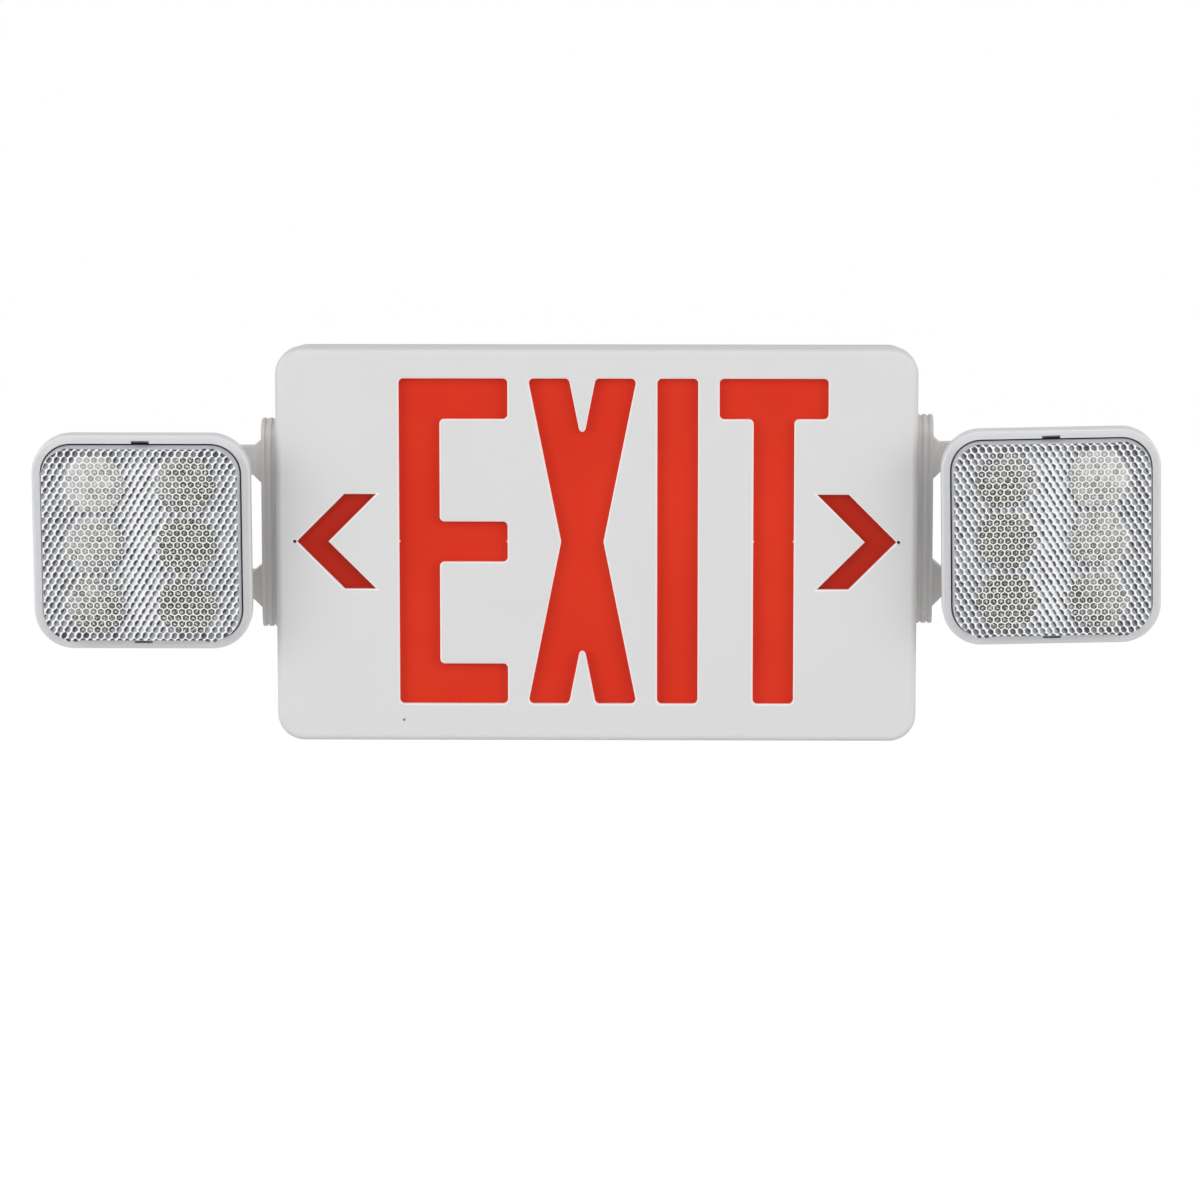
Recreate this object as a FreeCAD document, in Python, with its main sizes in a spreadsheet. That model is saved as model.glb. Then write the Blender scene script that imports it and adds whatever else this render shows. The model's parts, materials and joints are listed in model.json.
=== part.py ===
import FreeCAD, Part
import math
import os
import re

import Sketcher

Vector = FreeCAD.Vector
Rotation = FreeCAD.Rotation
Placement = FreeCAD.Placement

# The frame of the whole sign: the origin is the centre of the wall side, +X is to the right as
# seen from the front, the lit face looks along -Y, and +Z is up. Lengths are in millimetres.

SIZES = {
    # The case: a front cover snapped over a drafted frame, with a back plate let into it.
    "case_wide": 300.0,
    "case_tall": 185.2,
    "case_deep": 45.0,
    "case_corner": 12.5,
    "face_skin": 3.0,
    "face_round": 3.0,
    "skirt_deep": 14.0,
    "skirt_wall": 2.4,
    "frame_step": 0.8,
    "frame_inset": 2.2,
    "frame_wall": 2.6,
    "ledge_wide": 6.0,
    "ledge_deep": 2.5,
    "back_skin": 3.0,
    "tongue_wall": 1.6,
    "panel_thick": 2.0,
    "fit_gap": 0.3,
    "run_gap": 0.05,
    "bite": 1.0,
    # The legend, cut right through the cover.
    "legend_rise": 1.8,
    "letter_tall": 153.4,
    "letter_wide": 50.8,
    "stroke": 19.05,
    "letter_corner": 2.2,
    "edge_bevel": 0.6,
    "e_left": -92.3,
    "x_left": -32.0,
    "i_left": 28.4,
    "t_left": 57.4,
    "x_waist": 19.8,
    "x_notch": 24.7,
    "arrow_tip": 140.3,
    "arrow_half": 22.4,
    "arrow_thick": 14.9,
    "dot_radius": 0.8,
    "dot_out": 0.9,
    "nib_radius": 0.5,
    # A pinhole that the moulding left in the face.
    "pinhole_radius": 0.55,
    "pinhole_deep": 0.5,
    "pinhole_in": 59.6,
    "pinhole_lift": 1.15,
    # Openings in the back plate and the ways to fasten it.
    "entry_radius": 11.1,
    "box_screw_pitch": 88.9,
    "box_screw_radius": 2.2,
    "plate_screw_radius": 1.6,
    "plate_screw_z": 60.0,
    # The side brackets: a base plate with two arms.
    "base_tall": 98.4,
    "base_deep": 26.0,
    "base_out": 8.0,
    "base_corner": 9.0,
    "base_groove": 1.2,
    "base_lip": 1.6,
    "base_layer": 1.9,
    "swivel_deep": 15.5,
    "left_base_rise": 7.3,
    "right_base_rise": 9.4,
    "left_lean": 0.0,
    "right_lean": 1.2,
    "arm_pitch": 59.3,
    "arm_tall": 13.0,
    "arm_deep": 12.0,
    "arm_reach": 53.4,
    "arm_tip_radius": 6.5,
    "flare_tall": 22.0,
    "flare_deep": 20.0,
    "flare_out": 4.4,
    "screw_radius": 1.5,
    "screw_head_radius": 2.8,
    "screw_head": 1.8,
    "base_screw_pitch": 70.0,
    "lead_hole_radius": 4.0,
    # The swivel between the arms and the tilt bolt through it.
    "pin_radius": 2.5,
    "pin_depth": 10.0,
    "pin_cap_radius": 4.2,
    "pin_cap": 1.5,
    "barrel_radius": 8.5,
    "barrel_flat": 7.5,
    "flat_tall": 24.0,
    "lug_thick": 4.0,
    "lug_radius": 7.0,
    "bolt_head": 2.6,
    "nut_across": 8.0,
    "nut_thick": 3.6,
    # The lamp heads.
    "head_wide": 101.7,
    "head_tall": 101.2,
    "head_corner": 18.5,
    "head_front": 44.0,
    "head_band": 8.0,
    "head_back": 20.0,
    "shell_back_wide": 60.0,
    "shell_back_tall": 40.0,
    "shell_back_corner": 12.0,
    "shell_skin": 2.4,
    "shell_round": 1.2,
    "rim_wide": 4.0,
    "seat_wide": 3.0,
    "head_drop": 1.5,
    "head_tilt": 3.5,
    "lens_out": 7.0,
    "lens_skin": 2.0,
    "lens_draft": 8.5,
    "lens_round": 1.6,
    "latch_wide": 8.4,
    "latch_deep": 1.3,
    "flange_thick": 2.0,
    "cup_radius": 14.0,
    "cup_base_radius": 6.0,
    "cup_skin": 0.8,
    "cup_deep": 4.8,
    "lamp_pitch_x": 42.5,
    "lamp_pitch_z": 28.5,
    "lamp_board_wide": 75.0,
    "lamp_board_tall": 69.0,
    "lamp_board_corner": 10.0,
    "post_pitch_x": 46.0,
    "post_pitch_z": 28.0,
    "board_thick": 1.6,
    "post_radius": 3.0,
    "chip_wide": 5.0,
    "chip_thick": 1.0,
    # Inside the case.
    "strip_wide": 250.0,
    "strip_deep": 10.0,
    "strip_back": 24.0,
    "strip_chip_wide": 3.5,
    "strip_chip_thick": 1.4,
    "strip_chip_pitch": 20.0,
    "board_side_gap": 12.2,
    "board_wide": 108.0,
    "board_low_gap": 5.8,
    "board_tall": 64.0,
    "board_stand": 6.0,
    "stud_radius": 3.2,
    "cell_radius": 8.5,
    "cell_long": 50.0,
    "cell_side_gap": 19.2,
    "cell_low_gap": 17.8,
    "strap_wide": 12.0,
    "strap_thick": 1.2,
    "strap_foot": 8.0,
    # The parts on the control board, held from its lower left corner.
    "core_wide": 26.0,
    "core_deep": 20.0,
    "core_tall": 10.0,
    "coil_side": 18.0,
    "core_x": 30.0,
    "core_z": 46.0,
    "can_radius": 5.0,
    "can_tall": 16.0,
    "can_x": 54.0,
    "can_z": 48.0,
    "can_pitch": 13.0,
    "terminal_wide": 10.0,
    "terminal_deep": 11.0,
    "terminal_tall": 26.0,
    "terminal_x": 11.0,
    "terminal_z": 34.0,
    "terminal_pitch": 8.0,
    "terminal_way_radius": 2.0,
    "relay_wide": 19.0,
    "relay_side": 15.0,
    "relay_x": 88.0,
    "relay_z": 40.0,
    "fuse_radius": 2.6,
    "fuse_long": 20.0,
    "fuse_x": 38.0,
    "fuse_z": 24.0,
    "clip_wide": 2.0,
    "clip_side": 6.4,
    # The test button and the charge lamp in the bottom wall.
    "button_along": 45.0,
    "button_radius": 4.0,
    "button_sink": 0.7,
    "button_flange": 1.5,
    "button_travel": 1.5,
    "switch_wide": 7.0,
    "switch_tall": 6.0,
    "lamp_along": 67.0,
    "lamp_radius": 2.5,
    "lamp_long": 12.0,
    "lamp_foot_wide": 6.0,
    "lamp_foot_tall": 5.0,
}

STRIP_CHIPS = 12
CELLS = 3
SIDES = {"left": -1, "right": 1}

doc = FreeCAD.newDocument("exit_light")
sheet = doc.addObject("Spreadsheet::Sheet", "Sizes")
for row, (alias, value) in enumerate(SIZES.items(), 1):
    sheet.set(f"A{row}", alias)
    sheet.set(f"B{row}", str(value))
    sheet.setAlias(f"B{row}", alias)
doc.recompute()


def size(alias):
    """The sheet's present value of one driving size."""
    return float(sheet.get(alias))


def linked(text):
    """An expression in which each bare size name points at its cell."""
    return re.sub(r"[a-z][a-z_]+", lambda word: f"Sizes.{word.group(0)}" if word.group(0) in SIZES
                  else word.group(0), text)


def bind(thing, **expressions):
    """Bind properties of an object to the sheet; two underscores stand for a dot."""
    for path, text in expressions.items():
        thing.setExpression(path.replace("__", "."), linked(text))


def bind_base(thing, at):
    """Bind an object's place to three expressions."""
    bind(thing, Placement__Base__x=at[0], Placement__Base__y=at[1], Placement__Base__z=at[2])


# ---- sketches and bodies -------------------------------------------------------------------

def origin_plane(body, role):
    return [plane for plane in body.Origin.OriginFeatures if plane.Role == role][0]


def new_sketch(body, name, role="XZ_Plane", offset=None):
    """A sketch on one of the body's own planes, moved along the plane's normal by a size."""
    sketch = body.newObject("Sketcher::SketchObject", name)
    sketch.AttachmentSupport = (origin_plane(body, role), [""])
    sketch.MapMode = "FlatFace"
    if offset:
        sketch.setExpression("AttachmentOffset.Base.z", linked(offset))
    return sketch


def add_rounded_rectangle(sketch, wide, tall, corner):
    """A centred rounded rectangle whose width, height and corner follow three expressions."""
    first = sketch.GeometryCount
    half_x, half_y, r = 40.0, 30.0, 5.0
    inner_x, inner_y = half_x - r, half_y - r
    corners = [(inner_x, -inner_y, 270), (inner_x, inner_y, 0),
               (-inner_x, inner_y, 90), (-inner_x, -inner_y, 180)]
    lines = [((-inner_x, -half_y), (inner_x, -half_y)), ((half_x, -inner_y), (half_x, inner_y)),
             ((inner_x, half_y), (-inner_x, half_y)), ((-half_x, inner_y), (-half_x, -inner_y))]
    for start, end in lines:
        sketch.addGeometry(Part.LineSegment(Vector(*start, 0), Vector(*end, 0)), False)
    for x, y, angle in corners:
        circle = Part.Circle(Vector(x, y, 0), Vector(0, 0, 1), r)
        arc = Part.ArcOfCircle(circle, math.radians(angle), math.radians(angle + 90))
        sketch.addGeometry(arc, False)
    rules = []
    for side in range(4):
        line, arc, following = first + side, first + 4 + side, first + (side + 1) % 4
        rules.append(Sketcher.Constraint("Tangent", line, 2, arc, 1))
        rules.append(Sketcher.Constraint("Tangent", arc, 2, following, 1))
        rules.append(Sketcher.Constraint("Horizontal" if side % 2 == 0 else "Vertical", line))
        if side:
            rules.append(Sketcher.Constraint("Equal", first + 4, arc))
    rules.append(Sketcher.Constraint("Symmetric", first, 1, first + 2, 1, -1, 1))
    sketch.addConstraint(rules)
    for kind, args, text in (("DistanceX", (first + 3, 2, first + 1, 1, 2 * half_x), wide),
                             ("DistanceY", (first, 1, first + 2, 2, 2 * half_y), tall),
                             ("Radius", (first + 4, r), corner)):
        index = sketch.addConstraint(Sketcher.Constraint(kind, *args))
        sketch.setExpression(f"Constraints[{index}]", linked(text))


def add_outline(sketch, points):
    """A closed outline whose corners are held from the origin by expressions."""
    first = sketch.GeometryCount
    count = len(points)
    spots = [Vector(math.cos(math.tau * i / count), math.sin(math.tau * i / count), 0) * 20
             for i in range(count)]
    for i in range(count):
        sketch.addGeometry(Part.LineSegment(spots[i], spots[(i + 1) % count]), False)
    joined = [Sketcher.Constraint("Coincident", first + i, 2, first + (i + 1) % count, 1)
              for i in range(count)]
    sketch.addConstraint(joined)
    for i, point in enumerate(points):
        for kind, text, start in (("DistanceX", point[0], spots[i].x), ("DistanceY", point[1], spots[i].y)):
            rule = Sketcher.Constraint(kind, -1, 1, first + i, 1, start)
            index = sketch.addConstraint(rule)
            sketch.setExpression(f"Constraints[{index}]", linked(text))


def add_circle(sketch, radius, x, z):
    """A circle held from the origin."""
    first = sketch.GeometryCount
    start, r = Vector(3, 3, 0), 2.0
    sketch.addGeometry(Part.Circle(start, Vector(0, 0, 1), r), False)
    for kind, args, text in (("DistanceX", (-1, 1, first, 3, start.x), x),
                             ("DistanceY", (-1, 1, first, 3, start.y), z),
                             ("Radius", (first, r), radius)):
        index = sketch.addConstraint(Sketcher.Constraint(kind, *args))
        sketch.setExpression(f"Constraints[{index}]", linked(text))


def new_body(label):
    body = doc.addObject("PartDesign::Body", label)
    body.Label = label
    return body


def pad(body, sketch, length, reverse=False, taper=None):
    feature = body.newObject("PartDesign::Pad", sketch.Name + "_pad")
    feature.Profile = sketch
    feature.Reversed = reverse
    bind(feature, Length=length)
    if taper:
        bind(feature, TaperAngle=taper)
    body.Tip = feature
    doc.recompute()
    return feature


def pocket(body, sketch, length=None, reverse=False, taper=None):
    """Cut a sketch into the body and make sure that something was cut."""
    before = body.Tip.Shape.Volume
    feature = body.newObject("PartDesign::Pocket", sketch.Name + "_pocket")
    feature.Profile = sketch
    feature.Reversed = reverse
    if length:
        bind(feature, Length=length)
    else:
        feature.Type = "ThroughAll"
    if taper:
        bind(feature, TaperAngle=taper)
    body.Tip = feature
    doc.recompute()
    if not feature.Shape.Volume < before:
        raise RuntimeError(f"{feature.Name} cut nothing")
    return feature


def edge_names(shape, wanted):
    return [f"Edge{i}" for i, edge in enumerate(shape.Edges, 1) if wanted(edge)]


def round_edges(body, name, wanted, radius):
    """Round the edges of a body's tip that pass a test."""
    base = body.Tip
    feature = body.newObject("PartDesign::Fillet", name)
    feature.Base = (base, edge_names(base.Shape, wanted))
    bind(feature, Radius=radius)
    body.Tip = feature
    doc.recompute()
    return feature


def bevel_edges(body, name, wanted, width):
    """Bevel the edges of a body's tip that pass a test."""
    base = body.Tip
    feature = body.newObject("PartDesign::Chamfer", name)
    feature.Base = (base, edge_names(base.Shape, wanted))
    bind(feature, Size=width)
    body.Tip = feature
    doc.recompute()
    return feature


def lies_at(axis, place):
    """A test for edges that lie wholly in the plane where one coordinate has a value."""
    def test(edge):
        box = edge.BoundBox
        low, high = getattr(box, axis + "Min"), getattr(box, axis + "Max")
        return abs(low - place) < 1e-4 and abs(high - place) < 1e-4
    return test


def runs_along_y(edge):
    box = edge.BoundBox
    return box.XLength < 1e-4 and box.ZLength < 1e-4 and box.YLength > 1e-3


def loft(body, kind, sketches, name):
    feature = body.newObject(f"PartDesign::{kind}Loft", name)
    feature.Profile = sketches[0]
    feature.Sections = sketches[1:]
    feature.Ruled = True
    body.Tip = feature
    doc.recompute()
    return feature


def slab(label, wide, tall, thick, corner, at=None):
    """A rounded plate that faces -Y and starts at a given depth."""
    body = new_body(label)
    sketch = new_sketch(body, label + "_outline")
    add_rounded_rectangle(sketch, wide, tall, corner)
    pad(body, sketch, thick)
    if at:
        bind_base(body, at)
    return body


# ---- primitives and booleans ---------------------------------------------------------------

AIM = {
    "+x": Vector(1, 0, 0),
    "-x": Vector(-1, 0, 0),
    "+y": Vector(0, 1, 0),
    "-y": Vector(0, -1, 0),
    "+z": Vector(0, 0, 1),
    "-z": Vector(0, 0, -1),
}


def aimed(along):
    """The turn that takes a primitive's own axis, +Z, to a named direction."""
    return Placement(Vector(), Rotation(AIM["+z"], AIM[along]))


def block(label, spans, at):
    """A box centred on a place."""
    made = doc.addObject("Part::Box", label)
    bind(made, Length=spans[0], Width=spans[1], Height=spans[2])
    bind_base(made, [f"({place}) - ({span}) / 2" for place, span in zip(at, spans)])
    return made


def rod(label, radius, length, at, along="+z"):
    """A cylinder that starts at a place and runs in a named direction."""
    made = doc.addObject("Part::Cylinder", label)
    made.Placement = aimed(along)
    bind(made, Radius=radius, Height=length)
    bind_base(made, at)
    return made


def taper_rod(label, radius_start, radius_end, length, at, along="-y"):
    """A cone that starts at a place and runs in a named direction."""
    made = doc.addObject("Part::Cone", label)
    made.Placement = aimed(along)
    bind(made, Radius1=radius_start, Radius2=radius_end, Height=length)
    bind_base(made, at)
    return made


def fuse(label, pieces):
    made = doc.addObject("Part::MultiFuse", label)
    made.Label = label
    made.Shapes = pieces
    made.Refine = True
    return made


def cut(label, base, tools):
    tool = tools[0]
    if len(tools) > 1:
        tool = fuse(label + "_cutter", tools)
    made = doc.addObject("Part::Cut", label)
    made.Label = label
    made.Base = base
    made.Tool = tool
    return made


def group(label, pieces):
    """Like solids that share one node."""
    made = doc.addObject("Part::Compound", label)
    made.Label = label
    made.Links = pieces
    return made


def screw(label, radius, head_radius, head, length, at, along):
    """A pan-head screw whose head starts at a place and whose shank runs on from it."""
    heading = "xyz".index(along[1])
    shank_at = list(at)
    shank_at[heading] = f"({at[heading]}) {along[0]} ({head})"
    cap = rod(label + "_cap", head_radius, head, at, along)
    shank = rod(label + "_shank", radius, length, shank_at, along)
    return fuse(label, [cap, shank])


nodes = {}


def keep(label, made):
    made.Label = label
    nodes[label] = made
    return made


# ---- the case ------------------------------------------------------------------------------

SKIRT_BACK = "-(case_deep - skirt_deep)"
PANEL_BACK = "-(case_deep - face_skin - panel_thick)"
INNER_X = "(case_wide / 2 - frame_inset - frame_wall)"
INNER_Z = "(case_tall / 2 - frame_inset - frame_wall)"
PLATE_SCREW_X = f"({INNER_X} - ledge_wide / 2)"
BOARD_LEFT = f"({INNER_X} - board_side_gap - board_wide)"
BOARD_LOW = f"(board_low_gap - {INNER_Z})"
BUTTON_X = f"({BOARD_LEFT} + button_along)"
LAMP_X = f"({BOARD_LEFT} + lamp_along)"


def wall_at(span, depth):
    """Half the drafted frame's outer width or height at a depth in front of the back."""
    draft = "(frame_inset - frame_step) / (case_deep - skirt_deep)"
    return f"({span} / 2 - frame_inset + {draft} * ({depth}))"


def letter_e():
    """The twelve corners of the E, from its lower left."""
    low, high = "legend_rise - letter_tall / 2", "legend_rise + letter_tall / 2"
    left, stem, right = "e_left", "e_left + stroke", "e_left + letter_wide"
    short = "e_left + letter_wide"
    return [(left, low), (right, low), (right, f"{low} + stroke"), (stem, f"{low} + stroke"),
            (stem, "legend_rise - stroke / 2"), (short, "legend_rise - stroke / 2"),
            (short, "legend_rise + stroke / 2"), (stem, "legend_rise + stroke / 2"),
            (stem, f"{high} - stroke"), (right, f"{high} - stroke"), (right, high), (left, high)]


def letter_x():
    """The twelve corners of the X: four legs, two notches and the waist."""
    low, high = "legend_rise - letter_tall / 2", "legend_rise + letter_tall / 2"
    middle = "x_left + letter_wide / 2"
    right = "x_left + letter_wide"
    return [("x_left", low), ("x_left + stroke", low), (middle, f"{low} + x_notch"),
            (f"{right} - stroke", low), (right, low), (f"{middle} + x_waist / 2", "legend_rise"),
            (right, high), (f"{right} - stroke", high), (middle, f"{high} - x_notch"),
            ("x_left + stroke", high), ("x_left", high), (f"{middle} - x_waist / 2", "legend_rise")]


def letter_i():
    low, high = "legend_rise - letter_tall / 2", "legend_rise + letter_tall / 2"
    return [("i_left", low), ("i_left + stroke", low), ("i_left + stroke", high), ("i_left", high)]


def letter_t():
    low, high = "legend_rise - letter_tall / 2", "legend_rise + letter_tall / 2"
    left, right = "t_left", "t_left + letter_wide"
    stem_left, stem_right = "t_left + (letter_wide - stroke) / 2", "t_left + (letter_wide + stroke) / 2"
    return [(stem_left, low), (stem_right, low), (stem_right, f"{high} - stroke"),
            (right, f"{high} - stroke"), (right, high), (left, high), (left, f"{high} - stroke"),
            (stem_left, f"{high} - stroke")]


def arrow(side):
    """The six corners of a chevron that points outwards."""
    reach = [("arrow_tip", "0"), ("arrow_tip - arrow_half", "arrow_half"),
             ("arrow_tip - arrow_half - arrow_thick", "arrow_half"), ("arrow_tip - arrow_thick", "0"),
             ("arrow_tip - arrow_half - arrow_thick", "-arrow_half"),
             ("arrow_tip - arrow_half", "-arrow_half")]
    return [(f"{side} * ({x})", f"legend_rise + {z}") for x, z in reach]


def nib_places():
    """Where the moulding's gates left a nib on an edge: two on the E and two on the T's stem."""
    return ["e_left", "e_left + letter_wide", "t_left + (letter_wide - stroke) / 2",
            "t_left + (letter_wide + stroke) / 2"]


def make_front_face():
    """The front cover: a dished moulding with the legend cut through it."""
    body = new_body("front_face")
    outline = new_sketch(body, "face_outline")
    add_rounded_rectangle(outline, "case_wide", "case_tall", "case_corner")
    pad(body, outline, "skirt_deep")
    round_edges(body, "face_rounding", lies_at("Y", -size("skirt_deep")), "face_round")
    hollow = new_sketch(body, "face_hollow")
    add_rounded_rectangle(hollow, "case_wide - 2 * skirt_wall", "case_tall - 2 * skirt_wall",
                          "case_corner - skirt_wall")
    pocket(body, hollow, "skirt_deep - face_skin", reverse=True)
    letters = new_sketch(body, "letters")
    for points in (letter_e(), letter_x(), letter_i(), letter_t()):
        add_outline(letters, points)
    pocket(body, letters, reverse=True)
    word_half = size("case_wide") / 2 - size("skirt_wall") - size("case_corner")
    round_edges(body, "letter_rounding",
                lambda edge: runs_along_y(edge) and abs(edge.CenterOfMass.x) < word_half,
                "letter_corner")
    arrows = new_sketch(body, "arrows")
    for side in SIDES.values():
        add_outline(arrows, arrow(side))
    pocket(body, arrows, reverse=True)
    at_front = lies_at("Y", -size("skirt_deep"))
    rim_x = size("case_wide") / 2 - size("face_round") - 1.0
    rim_z = size("case_tall") / 2 - size("face_round") - 1.0
    bevel_edges(body, "legend_bevel",
                lambda edge: at_front(edge) and edge.BoundBox.XLength < rim_x
                and abs(edge.CenterOfMass.x) < rim_x - size("case_corner") + size("face_round")
                and abs(edge.CenterOfMass.z) < rim_z,
                "edge_bevel")
    dots = new_sketch(body, "arrow_dots")
    for side in SIDES.values():
        add_circle(dots, "dot_radius", f"{side} * (arrow_tip + dot_out)", "legend_rise")
    pocket(body, dots, reverse=True)
    nibs = new_sketch(body, "gate_nibs", offset="skirt_deep - face_skin")
    for x in nib_places():
        add_circle(nibs, "nib_radius", x, "legend_rise")
    pad(body, nibs, "face_skin - 2 * edge_bevel")
    pinhole = new_sketch(body, "pinhole", offset="skirt_deep")
    add_circle(pinhole, "pinhole_radius", "pinhole_in - case_wide / 2",
               "pinhole_lift + legend_rise / 2 - (case_tall + letter_tall) / 4")
    pocket(body, pinhole, "pinhole_deep")
    bind_base(body, ("0", SKIRT_BACK, "0"))
    keep("front_face", body)


def make_red_panel():
    keep("red_panel", slab("red_panel", "case_wide - 2 * (skirt_wall + fit_gap)",
                           "case_tall - 2 * (skirt_wall + fit_gap)", "panel_thick",
                           "case_corner - skirt_wall - fit_gap", ("0", PANEL_BACK, "0")))


def make_housing_frame():
    """The drafted frame behind the cover, with a ledge for the back plate and a tongue in front."""
    body = new_body("frame_moulding")
    deep = "case_deep - skirt_deep"
    outline = new_sketch(body, "frame_outline")
    add_rounded_rectangle(outline, "case_wide - 2 * frame_inset", "case_tall - 2 * frame_inset",
                          "case_corner - frame_inset")
    pad(body, outline, deep, taper=f"atan((frame_inset - frame_step) / ({deep}))")
    window = new_sketch(body, "frame_window")
    add_rounded_rectangle(window, f"2 * ({INNER_X} - ledge_wide)", f"2 * ({INNER_Z} - ledge_wide)",
                          "case_corner")
    pocket(body, window, reverse=True)
    recess = new_sketch(body, "plate_recess")
    add_rounded_rectangle(recess, f"2 * {INNER_X}", f"2 * {INNER_Z}",
                          "case_corner - frame_inset - frame_wall")
    pocket(body, recess, "back_skin", reverse=True)
    room = new_sketch(body, "frame_room", offset=deep)
    add_rounded_rectangle(room, f"2 * {INNER_X}", f"2 * {INNER_Z}",
                          "case_corner - frame_inset - frame_wall")
    pocket(body, room, f"{deep} - back_skin - ledge_deep")
    tongue = new_sketch(body, "tongue", offset=deep)
    add_rounded_rectangle(tongue, "case_wide - 2 * (skirt_wall + fit_gap)",
                          "case_tall - 2 * (skirt_wall + fit_gap)", "case_corner - skirt_wall - fit_gap")
    add_rounded_rectangle(tongue, "case_wide - 2 * (skirt_wall + fit_gap + tongue_wall)",
                          "case_tall - 2 * (skirt_wall + fit_gap + tongue_wall)",
                          "case_corner - skirt_wall - fit_gap - tongue_wall")
    pad(body, tongue, "skirt_deep - face_skin - panel_thick")
    tools = [rod("button_bore", "button_radius + run_gap * 2", "frame_wall * 4",
                 (BUTTON_X, "-swivel_deep", f"-({INNER_Z} + frame_wall * 3)")),
             rod("lamp_bore", "lamp_radius + run_gap", "frame_wall * 4",
                 (LAMP_X, "-swivel_deep", f"-({INNER_Z} + frame_wall * 3)"))]
    for name, side in SIDES.items():
        start = f"{side} * ({INNER_X} - bite)"
        along = "+x" if side > 0 else "-x"
        rise = f"{name}_base_rise"
        tools.append(rod(f"{name}_lead_hole", "lead_hole_radius", "frame_wall * 4",
                         (start, "-swivel_deep", rise), along))
        for end in (-1, 1):
            tools.append(rod(f"{name}_screw_way_{end + 2}", "screw_radius + run_gap", "frame_wall * 4",
                             (start, "-swivel_deep", f"{rise} + {end} * base_screw_pitch / 2"), along))
    for side_x in (-1, 1):
        for side_z in (-1, 1):
            tools.append(rod(f"ledge_hole_{side_x + 2}{side_z + 2}", "plate_screw_radius + run_gap",
                             "ledge_deep + back_skin + bite",
                             (f"{side_x} * {PLATE_SCREW_X}", "bite", f"{side_z} * plate_screw_z"), "-y"))
    keep("housing_frame", cut("housing_frame", body, tools))


def plate_studs(prefix):
    """Names and places of the four board studs that stand on the back plate."""
    studs = []
    for i, x in enumerate(("2 * stud_radius", "board_wide - 2 * stud_radius")):
        for j, z in enumerate(("2 * stud_radius", "board_tall - 2 * stud_radius")):
            studs.append((f"{prefix}_{i}{j}", f"{BOARD_LEFT} + {x}", f"{BOARD_LOW} + {z}"))
    return studs


def make_back_plate():
    """The back plate with its wire entry, box screw holes, keyholes and board studs."""
    plate = slab("plate_blank", f"2 * ({INNER_X} - fit_gap)", f"2 * ({INNER_Z} - fit_gap)", "back_skin",
                 "case_corner - frame_inset - frame_wall - fit_gap")
    studs = [rod(name, "stud_radius", "board_stand", (x, "-back_skin", z), "-y")
             for name, x, z in plate_studs("stud")]
    tools = [rod("entry_way", "entry_radius", "back_skin * 3", ("0", "back_skin", "0"), "-y")]
    for side in SIDES.values():
        tools.append(rod(f"box_screw_way_{side + 2}", "box_screw_radius", "back_skin * 3",
                         (f"{side} * box_screw_pitch / 2", "back_skin", "0"), "-y"))
        for side_z in (-1, 1):
            screw_at = (f"{side} * {PLATE_SCREW_X}", "back_skin", f"{side_z} * plate_screw_z")
            tools.append(rod(f"plate_way_{side + 2}{side_z + 2}", "plate_screw_radius + run_gap",
                             "back_skin * 3", screw_at, "-y"))
            tools.append(rod(f"plate_head_way_{side + 2}{side_z + 2}", "screw_head_radius + run_gap",
                             "back_skin + screw_head", screw_at, "-y"))
    for name, x, z in plate_studs("stud_way"):
        tools.append(rod(name, "plate_screw_radius", "board_stand",
                         (x, "-back_skin", z), "-y"))
    keep("back_plate", cut("back_plate", fuse("plate_with_studs", [plate] + studs), tools))


def make_back_plate_screws():
    """Four screws, sunk flush in the plate, that hold it to the frame's ledge."""
    screws = []
    for side_x in (-1, 1):
        for side_z in (-1, 1):
            screws.append(screw(f"plate_screw_{side_x + 2}{side_z + 2}", "plate_screw_radius",
                                "screw_head_radius", "screw_head", "back_skin + ledge_deep - screw_head",
                                (f"{side_x} * {PLATE_SCREW_X}", "0", f"{side_z} * plate_screw_z"), "-y"))
    keep("back_plate_screws", group("back_plate_screws", screws))


# ---- inside the case -----------------------------------------------------------------------

CELL_LEFT = f"(cell_side_gap - {INNER_X})"
CELL_LOW = f"(cell_low_gap - {INNER_Z})"


def make_light_strips():
    """Two strip boards, above and below the panel, each with a row of chips that face inwards."""
    for name, up in (("upper", 1), ("lower", -1)):
        seat = f"{up} * ({INNER_Z} - board_thick / 2)"
        middle = "-(strip_back + strip_deep / 2)"
        keep(f"{name}_light_strip",
             block(f"{name}_light_strip", ("strip_wide", "strip_deep", "board_thick"), ("0", middle, seat)))
        chips = []
        for i in range(STRIP_CHIPS):
            x = f"({i} - {(STRIP_CHIPS - 1) / 2}) * strip_chip_pitch"
            chips.append(block(f"{name}_chip_{i}", ("strip_chip_wide", "strip_chip_wide", "strip_chip_thick"),
                               (x, middle, f"{up} * ({INNER_Z} - board_thick - strip_chip_thick / 2)")))
        keep(f"{name}_strip_leds", group(f"{name}_strip_leds", chips))


BOARD_BACK = "(back_skin + board_stand)"
BOARD_FRONT = "(back_skin + board_stand + board_thick)"


def on_board(label, spans, right, up):
    """A boxed component that stands on the board's front at a distance from its lower left."""
    return block(label, spans, (f"{BOARD_LEFT} + {right}", f"-({BOARD_FRONT} + ({spans[1]}) / 2)",
                                f"{BOARD_LOW} + {up}"))


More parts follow.
